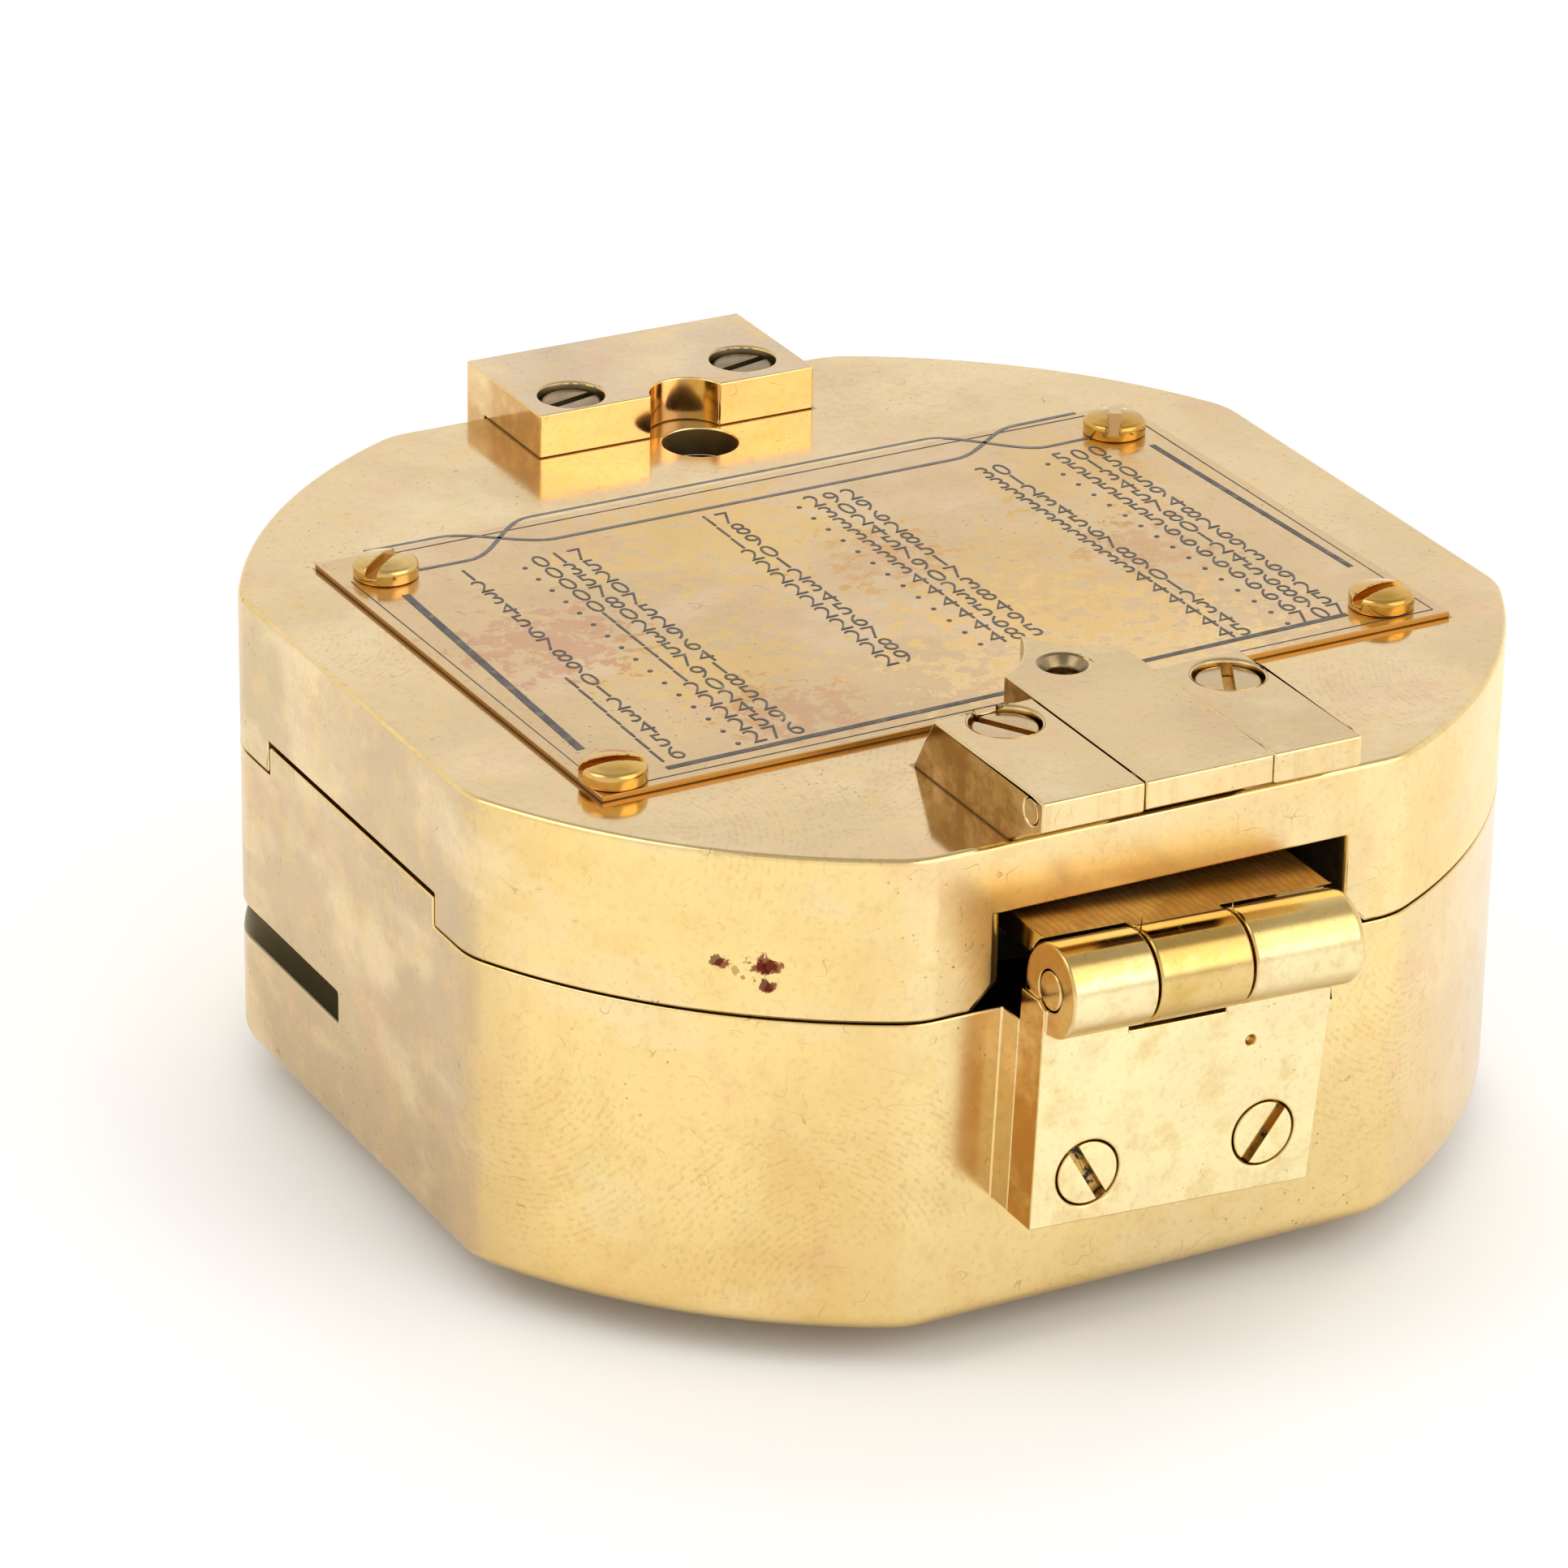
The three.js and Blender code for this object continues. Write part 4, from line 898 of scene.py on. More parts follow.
def make_lid():
    levels = rounding(0.1, LID_LOW, -1, 2) + rounding(LID_EDGE, CASE_TOP, 1)
    hollow = post(BORES[-1][0], 0, LID_CEILING, RIM_SEGMENTS)
    edge = [window_loop(WINDOW.flare * (1 - sin(t)) - FLAT, 1 - cos(t)) for t in quarter(6)]
    window = loft([window_loop(-30, 0), *edge, window_loop(-44, 1)])
    notch_half = TAB_HALF + 0.3
    notches = [slab(x0, x1, -notch_half, notch_half, LID_LOW - 1, TAB_TOP + 0.4)
               for x0, x1 in ((-FLAT - 1, -FLAT + 8), (FLAT - 8, FLAT + 1))]
    hole = moved(post(SIGHT_HOLE.r, 20, 40, 72), SIGHT_HOLE.x, SIGHT_HOLE.y)
    shape = cut(case_solid(levels), hollow, window, hole, *notches)
    piece("lid_case", shape, "lid", LID_BRASS, name="lid_fine", bevel=0.12)
    mirror = span("mirror")
    glass = cut(rounded_post(33.8, mirror.z0, mirror.z1, 0.1, RIM_SEGMENTS, 0.3),
                moved(post(3.0, 20, 40), SIGHT_HOLE.x, SIGHT_HOLE.y))
    piece("mirror", glass, "lid", MIRROR, bevel=0.1)
    keeper = span("mirror_ring")
    piece("mirror_ring", ring(32.4, 34.3, keeper.z0, keeper.z1), "lid", CASE_BRASS,
          bevel=0.2)


TABLE_SCREWS = ((-27.9, 14.8, 37), (-28.7, -19.6, -11), (27.8, -17.8, 8), (27.3, 15.4, 58))
table_box = span("table_plate")


def table_place(x, y):
    """A place given on the table plate, from its centre, in the case frame."""
    spot = Matrix.Rotation(TABLE_TURN, 2) @ Vector((x, y))
    return TABLE.x + spot.x, TABLE.y + spot.y


def make_table():
    half = TABLE.width / 2
    deep = TABLE.depth / 2
    plate = slab(-half, half, -deep, deep, table_box.z0, table_box.z1)
    # the plate's sides take packed soiling and painted shade
    plate = soiled(plate, lambda centre, normal: abs(normal.z) < 0.5)
    piece("table_plate", moved(plate, TABLE.x, TABLE.y, 0, TABLE_TURN), "lid", TABLE_BRASS,
          bevel=0.08, second=EDGE_DIRT_AND_SHADE)
    low = table_box.z1
    for i, (x, y, turn) in enumerate(TABLE_SCREWS, 1):
        shape = moved(domed_screw(HEAD, low, low + 1.4, SHANK_END, turn), x, y)
        piece(f"table_screw_{i}", shape, "lid", SCREW_BRASS, bevel=0.06, second=BROWN_DIRT_AND_SHADE)


# ---- engraved lines and figures ----
FILL = 0.02                         # how thick the filling of an engraving is shown
glyphs = {}


def glyph(mark):
    """One figure, letter or point as a closed thin solid, 1 unit high and centred in x."""
    if mark not in glyphs:
        curve = bpy.data.curves.new("glyph", "FONT")
        curve.body = mark
        curve.extrude = 0.5
        curve.offset = -0.012
        curve.resolution_u = 3
        holder = placed("glyph", curve)
        graph = bpy.context.evaluated_depsgraph_get()
        shape = bpy.data.meshes.new_from_object(holder.evaluated_get(graph))
        bpy.data.objects.remove(holder)
        xs = [v.co.x for v in shape.vertices]
        centre = (min(xs) + max(xs)) / 2
        digit_height = 0.7
        shape.transform(Matrix.Scale(1 / digit_height, 4) @ Matrix.Translation((-centre, 0, 0)))
        glyphs[mark] = shape
    return glyphs[mark]


class Inlay:
    """Lines and figures gathered into one thin piece."""

    def __init__(self, height):
        self.build = bmesh.new()
        self.height = height

    def add(self, shape, matrix):
        copy = shape.copy()
        copy.transform(matrix)
        self.build.from_mesh(copy)
        bpy.data.meshes.remove(copy)

    def figure(self, mark, x, y, size, turn=0.0):
        place = Matrix.Translation((x, y, self.height + FILL / 2)) @ Matrix.Rotation(turn, 4, "Z")
        size_x = size * 0.86
        grow = Matrix.Diagonal((size_x, size, FILL * 0.7, 1))
        self.add(glyph(mark), place @ grow @ Matrix.Translation((0, -0.5, 0)))

    def stroke(self, points, width, closed=False):
        """A line of even width through points in the case frame."""
        count = len(points)
        left = []
        right = []
        for i, (x, y) in enumerate(points):
            before = points[i - 1] if i or closed else points[i]
            after = points[(i + 1) % count] if i < count - 1 or closed else points[i]
            way = Vector((after[0] - before[0], after[1] - before[1])).normalized()
            side = Vector((-way.y, way.x)) * width / 2
            left.append((x + side.x, y + side.y))
            right.append((x - side.x, y - side.y))
        steps = count if closed else count - 1
        for i in range(steps):
            j = (i + 1) % count
            corners = [right[i], right[j], left[j], left[i]]
            self.add(prism(corners, self.height, self.height + FILL), Matrix.Identity(4))

    def tick(self, angle, inner, outer, width):
        """A radial line about the Z axis."""
        turn = radians(angle)
        self.stroke([polar(inner, turn), polar(outer, turn)], width)

    def label(self, text, angle, radius, size, step):
        """Figures along a circle, `step` degrees apart; they stand outwards if it is negative."""
        upright = copysign(pi / 2, step)
        for i, mark in enumerate(text):
            turn = radians(angle + (i - (len(text) - 1) / 2) * step)
            self.figure(mark, *polar(radius, turn), size, turn + upright)

    def spot(self, x, y, radius):
        self.add(moved(post(radius, self.height, self.height + FILL, 12), x, y), Matrix.Identity(4))

    def finish(self, name, body, material):
        shape = bpy.data.meshes.new(name)
        self.build.to_mesh(shape)
        self.build.free()
        shape.transform(TO_ROW)
        shape.materials.append(material)
        item = placed(name, shape)
        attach(item, body)


def wave(x0, y0, x1, y1, steps=14):
    """An S-shaped crossing from one level to another."""
    points = []
    for i in range(steps + 1):
        t = i / steps
        ease = t * t * (3 - 2 * t)
        points.append((x0 + (x1 - x0) * t, y0 + (y1 - y0) * ease))
    return points


BORDER_LINES = ((0.55, ((-28.15, 11.3), (-28.6, -15.0))),     # width and points, in the case frame
                (0.45, ((-25.1, -19.75), (-0.8, -19.1), (25.0, -18.1))),
                (0.42, ((28.4, 12.2), (29.4, -11.6))))
HAIRLINE = 0.08
HAIRLINE_INSET = 0.8
FIGURE_STEP = 1.4                   # from one figure to the next
FIGURE_SIZE = 1.9
HEADING = Sizes(left=-27.6, right=26.6, cross=(-18.7, 18.4), rise=3.4, width=0.3)
HEADING_LEVELS = ((18.9, 15.4), (14.6, 19.4))     # outside and inside level of the two lines
COLUMNS = (
    # first and last angle, then where its first and last row start: angle, point, sine
    Sizes(first=1, last=16, top=12.4, foot=-17.9, angle=(-23.1, -23.6), point=(-19.3, -19.5)),
    Sizes(first=17, last=29, top=13.6, foot=-11.3, angle=(-3.6, -3.9), point=(1.6, 1.4)),
    Sizes(first=30, last=45, top=12.9, foot=-17.1, angle=(17.0, 17.6), point=(20.3, 20.8)))


def make_table_engraving():
    top = table_box.z1
    dark = Inlay(top + 0.004)
    for width, points in BORDER_LINES:
        dark.stroke(points, width)
    edge_x = TABLE.width / 2 - HAIRLINE_INSET
    edge_y = TABLE.depth / 2 - HAIRLINE_INSET
    corners = [(-edge_x, edge_y - 3), (-edge_x, -edge_y), (edge_x, -edge_y), (edge_x, edge_y - 3)]
    dark.stroke([table_place(x, y) for x, y in corners], HAIRLINE)
    dark.stroke([table_place(-edge_x + 2, edge_y), table_place(edge_x - 2, edge_y)], HAIRLINE)
    dark.finish("table_border", "lid", BLACK_FILL)
    grey = Inlay(top + 0.008)
    h = HEADING
    for outer, inner in HEADING_LEVELS:
        slope = 0.012
        left = [(h.left, outer)] + wave(h.cross[0] - h.rise, outer, h.cross[0] + h.rise, inner)
        right = wave(h.cross[1] - h.rise, inner + 37 * slope, h.cross[1] + h.rise, outer + 37 * slope)
        grey.stroke(left + right + [(h.right, outer + 52 * slope)], h.width)
    grey.finish("table_heading_scroll", "lid", GREY_FILL)
    figures = Inlay(top + 0.006)
    for c in COLUMNS:
        for angle in range(c.first, c.last + 1):
            share = (angle - c.first) / (c.last - c.first)
            y = c.top + (c.foot - c.top) * share
            angle_x = c.angle[0] + (c.angle[1] - c.angle[0]) * share
            point_x = c.point[0] + (c.point[1] - c.point[0]) * share
            marks = str(angle)
            for i, mark in enumerate(marks):
                x = angle_x + (i - len(marks) + 1) * FIGURE_STEP * 0.9
                figures.figure(mark, x, y, FIGURE_SIZE, TABLE_TURN)
            figures.spot(point_x, y - FIGURE_SIZE * 0.3, 0.18)
            for i, mark in enumerate(f"{sin(radians(angle)):.3f}"[2:]):
                figures.figure(mark, point_x + (i + 1) * FIGURE_STEP, y, FIGURE_SIZE, TABLE_TURN)
    figures.finish("table_figures", "lid", BLACK_FILL)


# ---- small sight ----
BLOCK = Sizes(left=-10.95, right=11.5, front=-41.1, nose=34.65, lip=-37.3, back=-27.7, foot=-25.25,
              top=36.6, skew=0.049)
BLOCK_SCREWS = ((-7.0, -29.65, -59, "left"), (8.9, -29.65, 63, "right"))
BLOCK_PIN = 0.8
TONGUE = Sizes(left=-3.75, right=5.2, tip=(0.35, -18.6), shoulder=-23.7, low=34.7, eye=(0.5, -23.7))


def block_blank(x0, x1):
    """A side block before its holes: it overhangs the front of the lid and slopes back at the rear."""
    b = BLOCK
    loops = []
    for x in (x0, x1):
        skew = (x - b.left) * b.skew
        side = [(b.foot + skew, CASE_TOP), (b.back + skew, b.top), (b.front, b.top), (b.front, b.nose),
                (b.lip, CASE_TOP)]
        loops.append([(x, y, z) for y, z in side])
    return loft(loops)


def block_shape(x0, x1):
    seats = [top_seat(x, y, BLOCK.top, FLUSH_HEAD + 0.22, 1.45) for x, y, _, _ in BLOCK_SCREWS]
    shape = cut(block_blank(x0, x1), *seats, rod(-20, 20, SMALL_AXIS, BLOCK_PIN + 0.05))

    return soiled(shape, in_any_seat(BLOCK_SCREWS, FLUSH_HEAD + 0.1, BLOCK.top))


def quadratic(a, b, c, steps=10):
    points = []
    for i in range(1, steps + 1):
        t = i / steps
        u = 1 - t
        points.append(tuple(u * u * p + 2 * u * t * q + t * t * r for p, q, r in zip(a, b, c)))
    return points


def make_small_sight():
    t = TONGUE
    left = block_shape(BLOCK.left, t.left - 0.07)
    right = block_shape(t.right + 0.04, BLOCK.right)
    for shape, side in ((left, "left"), (right, "right")):
        piece(f"sight_block_{side}", shape, "lid", BLOCK_BRASS, bevel=0.18,
              second=GROOVE_DIRT_AND_SHADE)
    pin = rod(BLOCK.left + 0.02, BLOCK.right - 0.02, SMALL_AXIS, BLOCK_PIN)
    piece("small_sight_pin", pin, "lid", BLOCK_BRASS, bevel=0.05)
    for x, y, turn, side in BLOCK_SCREWS:
        top = BLOCK.top - 0.35
        shape = moved(flat_screw(FLUSH_HEAD, top - 1.1, top, SHANK_END, turn, 0.16), x, y)
        screw_piece(f"sight_block_screw_{side}", shape, "lid", HEAD_BRASS, SLOT_DIRT_AND_SHADE)
    points = [(t.left, BLOCK.front), (t.right, BLOCK.front), (t.right, -22.8), (3.3, -22.1)]
    points += quadratic((3.3, -22.1), (1.0, -21.0), t.tip)
    points += quadratic(t.tip, (-0.9, -22.3), (t.left, t.shoulder))
    blade = prism(points, t.low, BLOCK.top)
    eye = lathe([(0, 30), (1.0, 30), (1.0, BLOCK.top - 0.65), (1.65, BLOCK.top), (1.75, BLOCK.top + 0.5),
                 (0, BLOCK.top + 0.5)])
    shape = cut(blade, rod(-20, 20, SMALL_AXIS, BLOCK_PIN + 0.05), moved(eye, *t.eye))

    # painted shade: the walls inside the eye take the dark brass
    def in_eye(centre, normal):
        return (centre.xy - Vector(t.eye)).length < 1.7 and centre.z < BLOCK.top - 0.02

    piece("small_sight_tongue", soiled(shape, in_eye), "small_sight", BLOCK_BRASS,
          bevel=0.16, second=DARK_BRASS)


# ---- large sight arm and peep ----
LEAF = Sizes(low=25.6, high=27.2, left=-10.5, right=9.9, clear=3.2)
ARM = Sizes(centre=-0.3, half=5.5, tip=12.2, slot_half=1.2)


def make_sight_arm():
    _, a, b, _ = SIGHT_KNUCKLES
    gap = KNUCKLE_GAP / 2
    left = ARM.centre - ARM.half
    right = ARM.centre + ARM.half
    points = [(LEAF.left, SIGHT_AXIS.y + 1), (LEAF.right, SIGHT_AXIS.y + 1), (LEAF.right, -33.5),
              (right, -28.5), (right, ARM.tip), (left, ARM.tip), (left, -28.5), (LEAF.left, -33.5)]
    leaf = prism(points, LEAF.low, LEAF.high)
    slot = join(slab(ARM.centre - ARM.slot_half, ARM.centre + ARM.slot_half, -24, 1, 20, 30),
                moved(post(ARM.slot_half, 20, 30, 32), ARM.centre, -24),
                moved(post(ARM.slot_half, 20, 30, 32), ARM.centre, 1))
    fork = slab(ARM.centre - 3.3, ARM.centre + 3.3, 9.4, ARM.tip + 1, 20, 30)
    sides = [rod(-20, a + gap, SIGHT_AXIS, LEAF.clear), rod(b - gap, 20, SIGHT_AXIS, LEAF.clear)]
    scribed = slab(-20, 20, -34.2, -34.1, LEAF.high - 0.05, LEAF.high + 1)
    leaf = cut(leaf, slot, fork, scribed, *sides)
    web = slab(a + gap, b - gap, SIGHT_AXIS.y, SIGHT_AXIS.y + 3.4, SIGHT_AXIS.z, LEAF.high)
    shape = join(leaf, web, knuckle(a + gap, b - gap, SIGHT_AXIS))
    shape = cut(shape, rod(-20, 20, SIGHT_AXIS, PIN + 0.1), rod(-20, 20, PEEP_AXIS, 0.45, 24))

    def tooled(centre, normal):
        return normal.z > 0.999 and abs(centre.z - LEAF.high) < 0.05 and centre.y < -33

    piece("large_sight_arm", leaned(soiled(shape, tooled)), "large_sight", KNUCKLE_BRASS,
          bevel=0.1, second=TOOLED_BRASS)
    pin = rod(left, right, PEEP_AXIS, 0.35, 24)
    piece("peep_hinge_pin", leaned(pin), "large_sight", STEEL, bevel=0.05)


def make_peep():
    low = 24.3
    high = 25.2
    inner = ARM.centre - 3.0
    outer = ARM.centre + 3.0
    shape = join(slab(ARM.centre - ARM.half, ARM.centre + ARM.half, -0.5, 9.2, low, high),
                 slab(inner, outer, 9, PEEP_AXIS.y + 0.4, low, high),
                 slab(inner, outer, PEEP_AXIS.y - 0.6, PEEP_AXIS.y + 0.4, low, PEEP_AXIS.z),
                 rod(inner, outer, PEEP_AXIS, 0.75, 32))
    shape = cut(shape, moved(post(0.9, 20, 30), ARM.centre, 2.6),
                slab(ARM.centre - 0.4, ARM.centre + 0.4, 4.4, 8.0, 20, 30),
                rod(-20, 20, PEEP_AXIS, 0.45, 24))
    piece("peep_sight", leaned(shape), "peep", KNUCKLE_BRASS, bevel=0.08)


# ---- compass, levels and clinometer ----
def make_dial():
    dial = span("dial_plate")
    piece("dial_plate", ring(2.6, 31.2, dial.z0, dial.z1), "case", SILVERED, bevel=0.08)
    marks = Inlay(dial.z1 + 0.004)
    for radius, width in ((30.4, 0.16), (27.4, 0.12), (22.4, 0.12)):
        marks.stroke(arc(0, 0, radius, 0, 357, 119), width, closed=True)
    for angle in range(181):
        inner = 25.2 if angle % 10 == 0 else 26.0 if angle % 5 == 0 else 26.6
        marks.tick(-angle, inner, 27.4, 0.1)
    for angle in range(0, 181, 10):
        marks.label(str(abs(90 - angle)), -angle, 24.0, 1.5, 2.6)
    marks.finish("dial_marks", "case", BLACK_FILL)
    rose = Inlay(dial.z1 + 0.008)
    for i in range(8):
        turn = radians(45 * i + 90)
        tip = 13.5 if i % 2 else 20.5
        for flank in (-22.5, 22.5):
            points = [polar(4.2, turn), polar(6.2, turn + radians(flank)), polar(tip, turn)]
            if flank < 0:
                rose.add(prism(points, rose.height, rose.height + FILL), Matrix.Identity(4))
            else:
                rose.stroke(points + points[:1], 0.12)
    rose.finish("dial_rose", "case", BLACK_FILL)
    band = span("azimuth_ring")
    profile = [(28.6, band.z0), (32.8, band.z0), (32.8, band.z1), (29.8, band.z1), (28.6, band.z1 - 1.0)]
    piece("azimuth_ring", turned_ring(profile), "case", SILVERED, bevel=0.06, angle=40)
    scale = Inlay(band.z1 + 0.004)
    for angle in range(360):
        inner = 30.0 if angle % 10 else 29.9
        outer = 31.6 if angle % 10 == 0 else 31.1 if angle % 5 == 0 else 30.7
        scale.tick(angle, inner, outer, 0.09)
    for angle in range(0, 360, 30):
        scale.label(str(angle), 90 + angle, 32.15, 0.85, -1.5)
    scale.finish("azimuth_marks", "case", BLACK_FILL)


def turned_ring(profile):
    """A ring turned about Z from a closed (radius, height) section that stays off the axis."""
    turns = [tau * i / RIM_SEGMENTS for i in range(RIM_SEGMENTS)]
    loops = [[(*polar(r, turn), z) for r, z in profile] for turn in turns]
    count = len(profile)
    faces = []
    for i in range(RIM_SEGMENTS):
        here = i * count
        there = (i + 1) % RIM_SEGMENTS * count
        for k in range(count):
            after = (k + 1) % count
            faces.append([here + k, there + k, there + after, here + after])
    return mesh_of([p for loop in loops for p in loop], faces)


def make_crystal():
    glass = span("crystal_glass")
    piece("crystal_glass", rounded_post(34.2, glass.z0, glass.z1, 0.3, RIM_SEGMENTS, 0.1), "case", CRYSTAL,
          name="crystal_fine", bevel=0)
    keeper = span("crystal_ring")
    piece("crystal_ring", ring(32.2, 34.3, keeper.z0, keeper.z1), "case", CASE_BRASS,
          bevel=0.2)


def make_levels():
    holder = span("round_level_holder")
    centre_y = (holder.y0 + holder.y1) / 2
    cup = cut(rounded_post(5.2, holder.z0, holder.z1, 0.25, 72), post(4.5, holder.z0 + 1, 20, 72))
    piece("round_level_holder", moved(cup, 0, centre_y), "case", PLATE_BRASS, bevel=0.1)
    vial = span("round_level_vial")
    lens = rounded_post(4.3, vial.z0, vial.z1, 0.6, 72)
    piece("round_level_vial", moved(lens, 0, centre_y), "case", SPIRIT, bevel=0)
    target = Inlay(vial.z1 + 0.004)
    target.stroke([(x, y + centre_y) for x, y in arc(0, 0, 1.6, 0, 350, 35)], 0.12, closed=True)
    target.finish("round_level_circle", "case", BLACK_FILL)
    trough = span("long_level_holder")
    y = (trough.y0 + trough.y1) / 2
    axis = Sizes(y=y, z=7.5)
    shape = cut(slab(trough.x0, trough.x1, trough.y0, trough.y1, trough.z0, trough.z1),
                join(rod(-11.5, 11.5, axis, 2.3), slab(-11.5, 11.5, y - 2.3, y + 2.3, 7.5, 9)))
    piece("long_level_holder", shape, "clinometer", PLATE_BRASS, bevel=0.1)
    tube = along_x(rounded_post(2.1, -11.2, 11.2, 1.2, 64, 1.2), y, 7.6)
    piece("long_level_vial", tube, "clinometer", SPIRIT, bevel=0)


def make_clinometer():
    shaft = span("clinometer_shaft")
    piece("clinometer_shaft", rounded_post(2.0, shaft.z0, shaft.z1, 0.2, 48, 0.1), "clinometer", STEEL,
          bevel=0)
    lever = span("clinometer_lever")
    points = arc(0, 0, 7.0, 90 + 28.65, 450 - 28.65, 64)
    points += [(3.0, 22.0)] + arc(0, 23.5, 3.4, 0, 180, 24) + [(-3.0, 22.0)]
    blade = cut(prism(points, lever.z0, lever.z1), post(1.2, -4, 1), post(2.6, -4, -1.2))
    piece("clinometer_lever", blade, "clinometer", CASE_BRASS, bevel=0.2)
    screw = span("clinometer_lever_screw")
    head = flat_screw(2.4, 1.3, -screw.z0, 0.4, 20)
    head.transform(Matrix.Rotation(pi, 4, "X"))
    piece("clinometer_lever_screw", head, "clinometer", SCREW_BRASS, bevel=0.05)
    arm = span("vernier_arm")
    points = arc(0, 0, 5.2, -45, 225, 40) + [(-3.6, -21)] + arc(0, 0, 26, 270 - 17.2, 270 + 17.2, 24)
    points += [(3.6, -21)]
    shape = cut(prism(points, arm.z0, arm.z1), post(2.1, 3, 6))
    piece("vernier_arm", shape, "clinometer", SILVERED, bevel=0.08)
    marks = Inlay(arm.z1 + 0.004)
    for i in range(-6, 7):
        marks.tick(270 + i * 2.4, 24.3 if i % 6 else 23.4, 25.7, 0.11)
    marks.finish("vernier_marks", "clinometer", BLACK_FILL)
    pivot = [(0, 5.7), (1.6, 5.7), (1.6, 6.3), (0.9, 6.6), (0.9, 12.2), (0.12, 15.0), (0, 15.0)]
    piece("needle_pivot_post", lathe(pivot), "clinometer", STEEL, bevel=0.05)


def make_needle():
    blade = span("needle_blade")
    tip = blade.y1
    waist = [(2.2, 0), (0.35, tip - 1), (0, tip), (-0.35, tip - 1), (-2.2, 0), (-0.35, 1 - tip), (0, -tip),
             (0.35, 1 - tip)]
    shape = join(prism(waist, blade.z0, blade.z1), post(3.6, blade.z0, blade.z1, 72))
    shape = cut(shape, post(2.35, 10, 20))
    piece("needle_blade", shape, "needle", BLUE_STEEL, bevel=0.06)
    cap = [(0, 12.6), (2.2, 12.6), (2.2, 15.6), (1.9, 16.0), (1.2, 16.4), (0, 16.4)]
    hollow = [(0, 12), (1.3, 12), (1.3, 13.2), (0.3, 15.6), (0, 15.7)]
    piece("needle_cap", cut(lathe(cap), lathe(hollow)), "needle", SCREW_BRASS, bevel=0.08)
    wrap = cut(slab(-1.7, 1.7, -15.5, -13.5, 13.6, 15.4), slab(-1.35, 1.35, -17, -12, 14.0, 15.0))
    piece("needle_counterweight", wrap, "needle", PLATE_BRASS, bevel=0.08)


def make_lifter():
    low = 11.6
    high = 12.2
    strip = join(slab(3, 38.6, -1.4, 1.4, low, high), post(4.6, low, high, 72))
    shape = moved(cut(strip, post(1.6, 11, 13)), turn=LOCK_TURN)
    piece("needle_lifter", shape, "lifter", STEEL, bevel=0.06)
    base = keep(slab(27.5, 31.0, -2.4, 2.4, 3.3, 11.3), ring(20, 31.1, 0, 20))
    nose = turned(post(0.5, -2.4, 2.4, 24), (28.5, 0, 11.0), pi / 2, "X")
    base = join(cut(base, slab(29.2, 33, -3, 3, 10.9, 12)), nose)
    piece("lifter_fulcrum", moved(base, turn=LOCK_TURN), "case", PLATE_BRASS, bevel=0.08)
    pin = span("needle_lock_pin")
    shape = moved(rounded_post(1.1, pin.z0, pin.z1, 0.35), *polar(LOCK_OUT, LOCK_TURN))
    piece("needle_lock_pin", shape, "lock_pin", SCREW_BRASS, bevel=0)


# ---- floor, light and camera ----
def make_floor():
    half = 2.5
    corners = [(-half, -half, 0), (half, -half, 0), (half, half, 0), (-half, half, 0)]
    shape = mesh_of(corners, [[0, 1, 2, 3]])
    floor = placed("floor", shape)
    f = Finish("paper")
    tone = f.mix(f.band(f.noise(3, 2, 0.5), 0.3, 0.7), linear(247, 247, 246), linear(246, 246, 245))
    shape.materials.append(f.done(tone, 0.7, None, 0.0))
    f.shader.inputs["Specular IOR Level"].default_value = 0.2


def area_light(name, size, power, place):
    """A soft light that models the floor and the shadows; the metal mirrors the world instead."""
    light = bpy.data.lights.new(name, "AREA")
    light.shape = "RECTANGLE"
    light.size = size
    light.size_y = size
    light.energy = power
    item = placed(name, light)
    item.location = place
    way = Vector((0, 0, 0.02)) - Vector(place)
    item.rotation_euler = way.to_track_quat("-Z", "Y").to_euler()
    item.visible_glossy = False


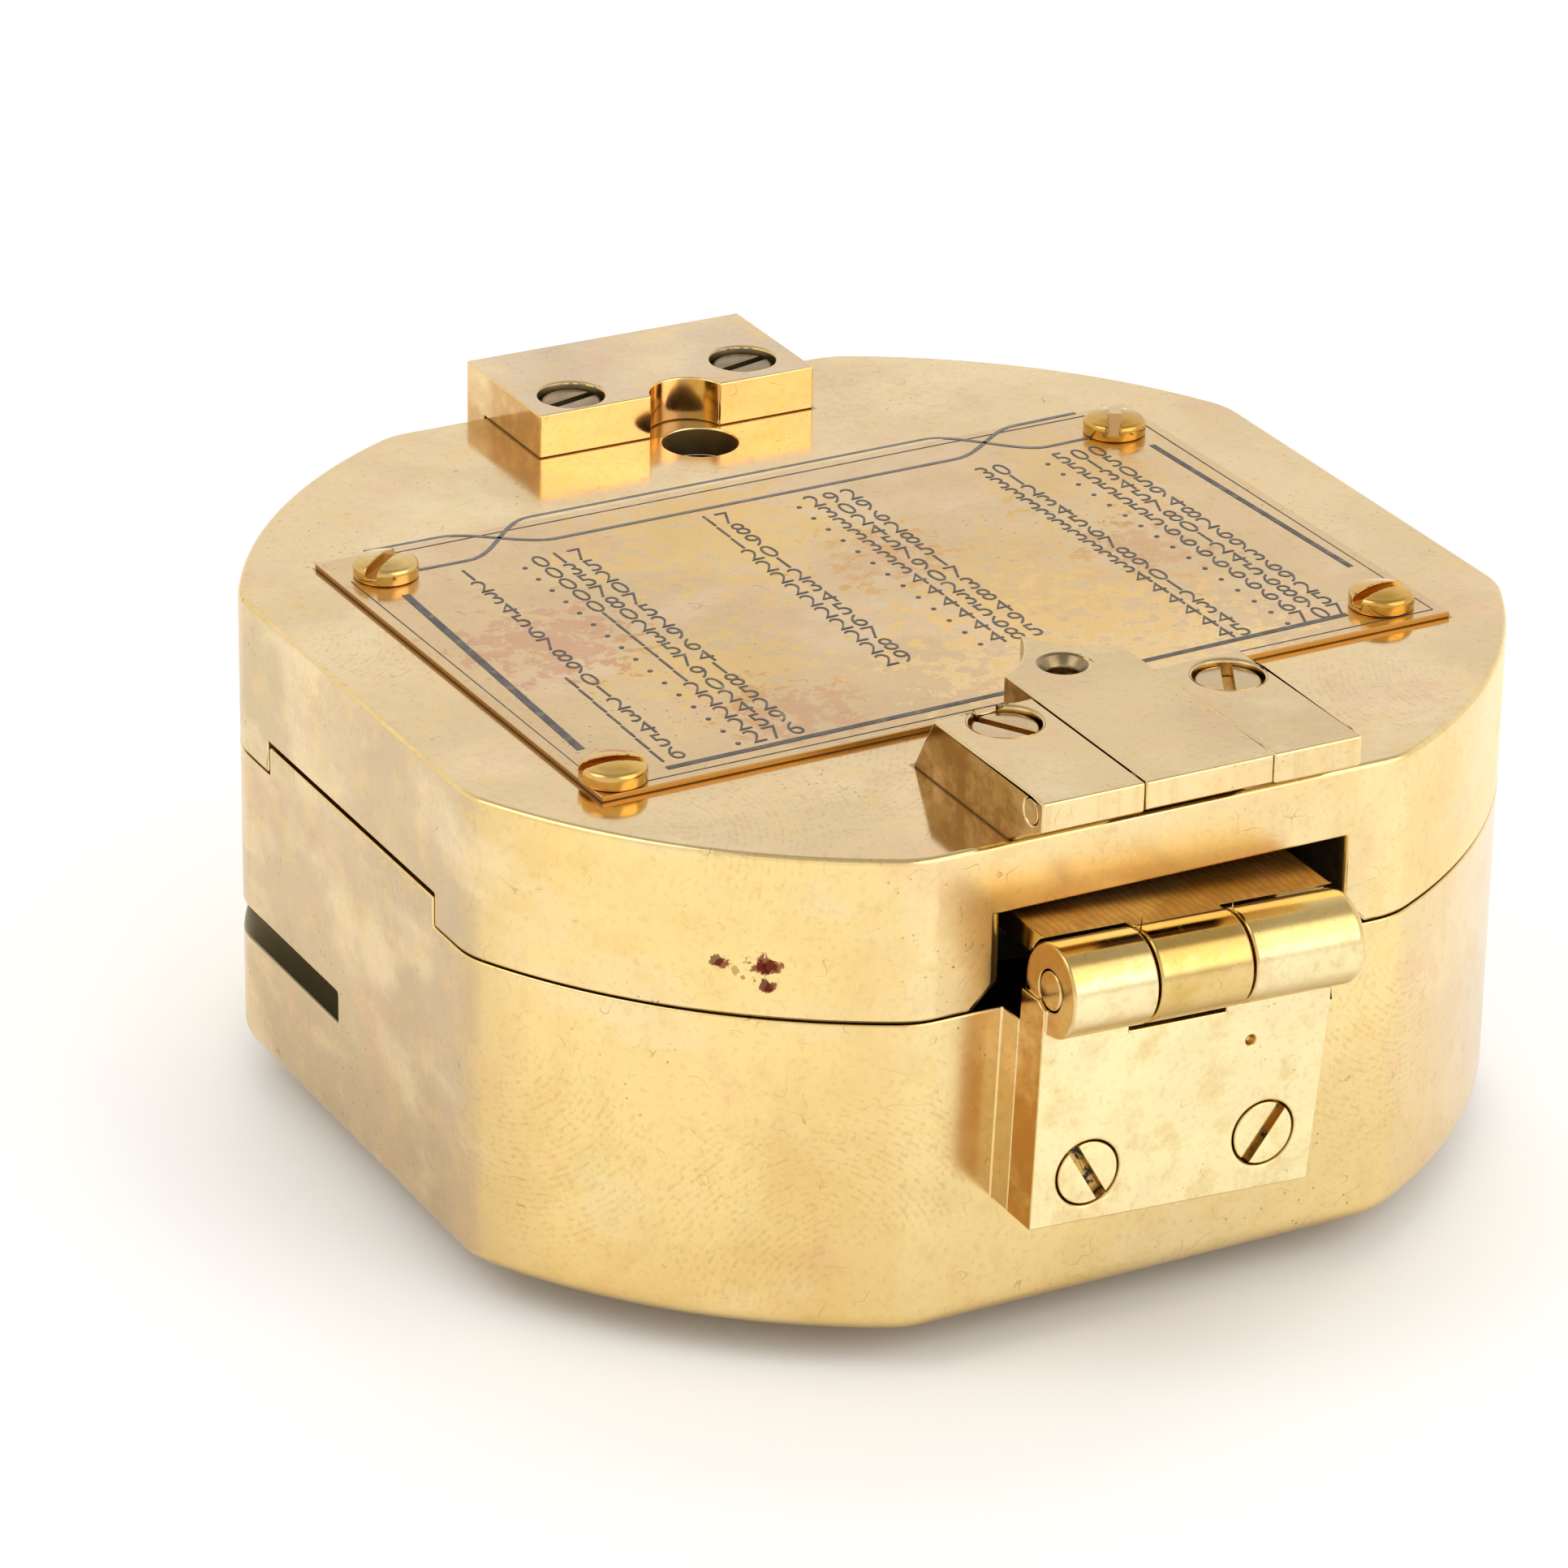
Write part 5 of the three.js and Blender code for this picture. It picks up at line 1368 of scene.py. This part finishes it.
class Sky:
    """The studio around the part: brightness by direction."""

    def __init__(self):
        world = bpy.data.worlds.new("studio")
        scene.world = world
        world.use_nodes = True
        self.tree = world.node_tree
        self.back = self.tree.nodes["Background"]
        self.way = self.tree.nodes.new("ShaderNodeTexCoord").outputs["Generated"]

    def add(self, kind, inputs):
        node = self.tree.nodes.new(kind)
        for key, value in inputs.items():
            if isinstance(value, bpy.types.NodeSocket):
                self.tree.links.new(value, node.inputs[key])
            else:
                node.inputs[key].default_value = value
        return node

    def toward(self, direction, start, full, low, high):
        """`low` away from a direction, rising to `high` where the cosine to it reaches `full`."""
        dot = self.add("ShaderNodeVectorMath", {0: self.way, 1: Vector(direction).normalized()})
        dot.operation = "DOT_PRODUCT"
        ramp = self.add("ShaderNodeMapRange", {"Value": dot.outputs["Value"], "From Min": start,
                                               "From Max": full, "To Min": low, "To Max": high})
        ramp.interpolation_type = "SMOOTHSTEP"
        return ramp.outputs["Result"]

    def plus(self, a, b):
        return self.add("ShaderNodeMath", {0: a, 1: b}).outputs[0]

    def done(self, strength, tint):
        self.tree.links.new(strength, self.back.inputs["Strength"])
        self.back.inputs["Color"].default_value = tint


# name, size, power and place of each soft light, in metres and watts
LIGHTS = (("key", 1.0, 3.9, (0.42, 0.58, 0.72)),
          ("left_fill", 0.9, 0.45, (-0.6, 0.2, 0.6)),
          ("right_fill", 0.9, 0.45, (0.6, -0.32, 0.6)))


def make_light():
    sky = Sky()
    overhead = sky.toward((0.05, 0, 1), 0.55, 0.93, 1.02, 0.55)
    window = sky.toward((0.42, -0.68, 0.60), 0.84, 0.95, 0.0, 1.35)
    rim = sky.toward((-0.58, 0.12, 0.8), 0.93, 0.985, 0.0, 1.7)
    sky.done(sky.plus(sky.plus(overhead, window), rim), (1.0, 0.995, 0.985, 1))
    for light in LIGHTS:
        area_light(*light)


CAMERA = Sizes(azimuth=-28.398, elevation=25.049, roll=0.961, distance=468.92, lens=160.62,
               target=(-1.41, 8.95, 15.0))    # degrees and case-frame millimetres


def make_camera():
    azimuth = radians(CAMERA.azimuth)
    elevation = radians(CAMERA.elevation)
    roll = radians(CAMERA.roll)
    target = TO_ROW @ Vector(CAMERA.target)
    back = Vector((sin(azimuth) * cos(elevation), -cos(azimuth) * cos(elevation), sin(elevation)))
    level = Vector((cos(azimuth), sin(azimuth), 0))
    upright = back.cross(level)
    right = level * cos(roll) + upright * sin(roll)
    up = upright * cos(roll) - level * sin(roll)
    data = bpy.data.cameras.new("camera")
    data.lens = CAMERA.lens
    data.sensor_width = 36
    data.clip_start = 0.01
    item = placed("camera", data)
    turn = Matrix((right, up, back)).transposed().to_4x4()
    item.matrix_world = Matrix.Translation(target + back * CAMERA.distance * MM) @ turn
    scene.camera = item
    scene.view_settings.view_transform = "Standard"


for make in (make_camera, make_light, make_floor, make_body, make_sight_hinge, make_lower_leaf,
             make_upper_leaf, make_lid, make_table, make_table_engraving, make_small_sight,
             make_sight_arm, make_peep, make_dial, make_crystal, make_levels, make_clinometer,
             make_needle, make_lifter):
    make()

bpy.context.view_layer.update()
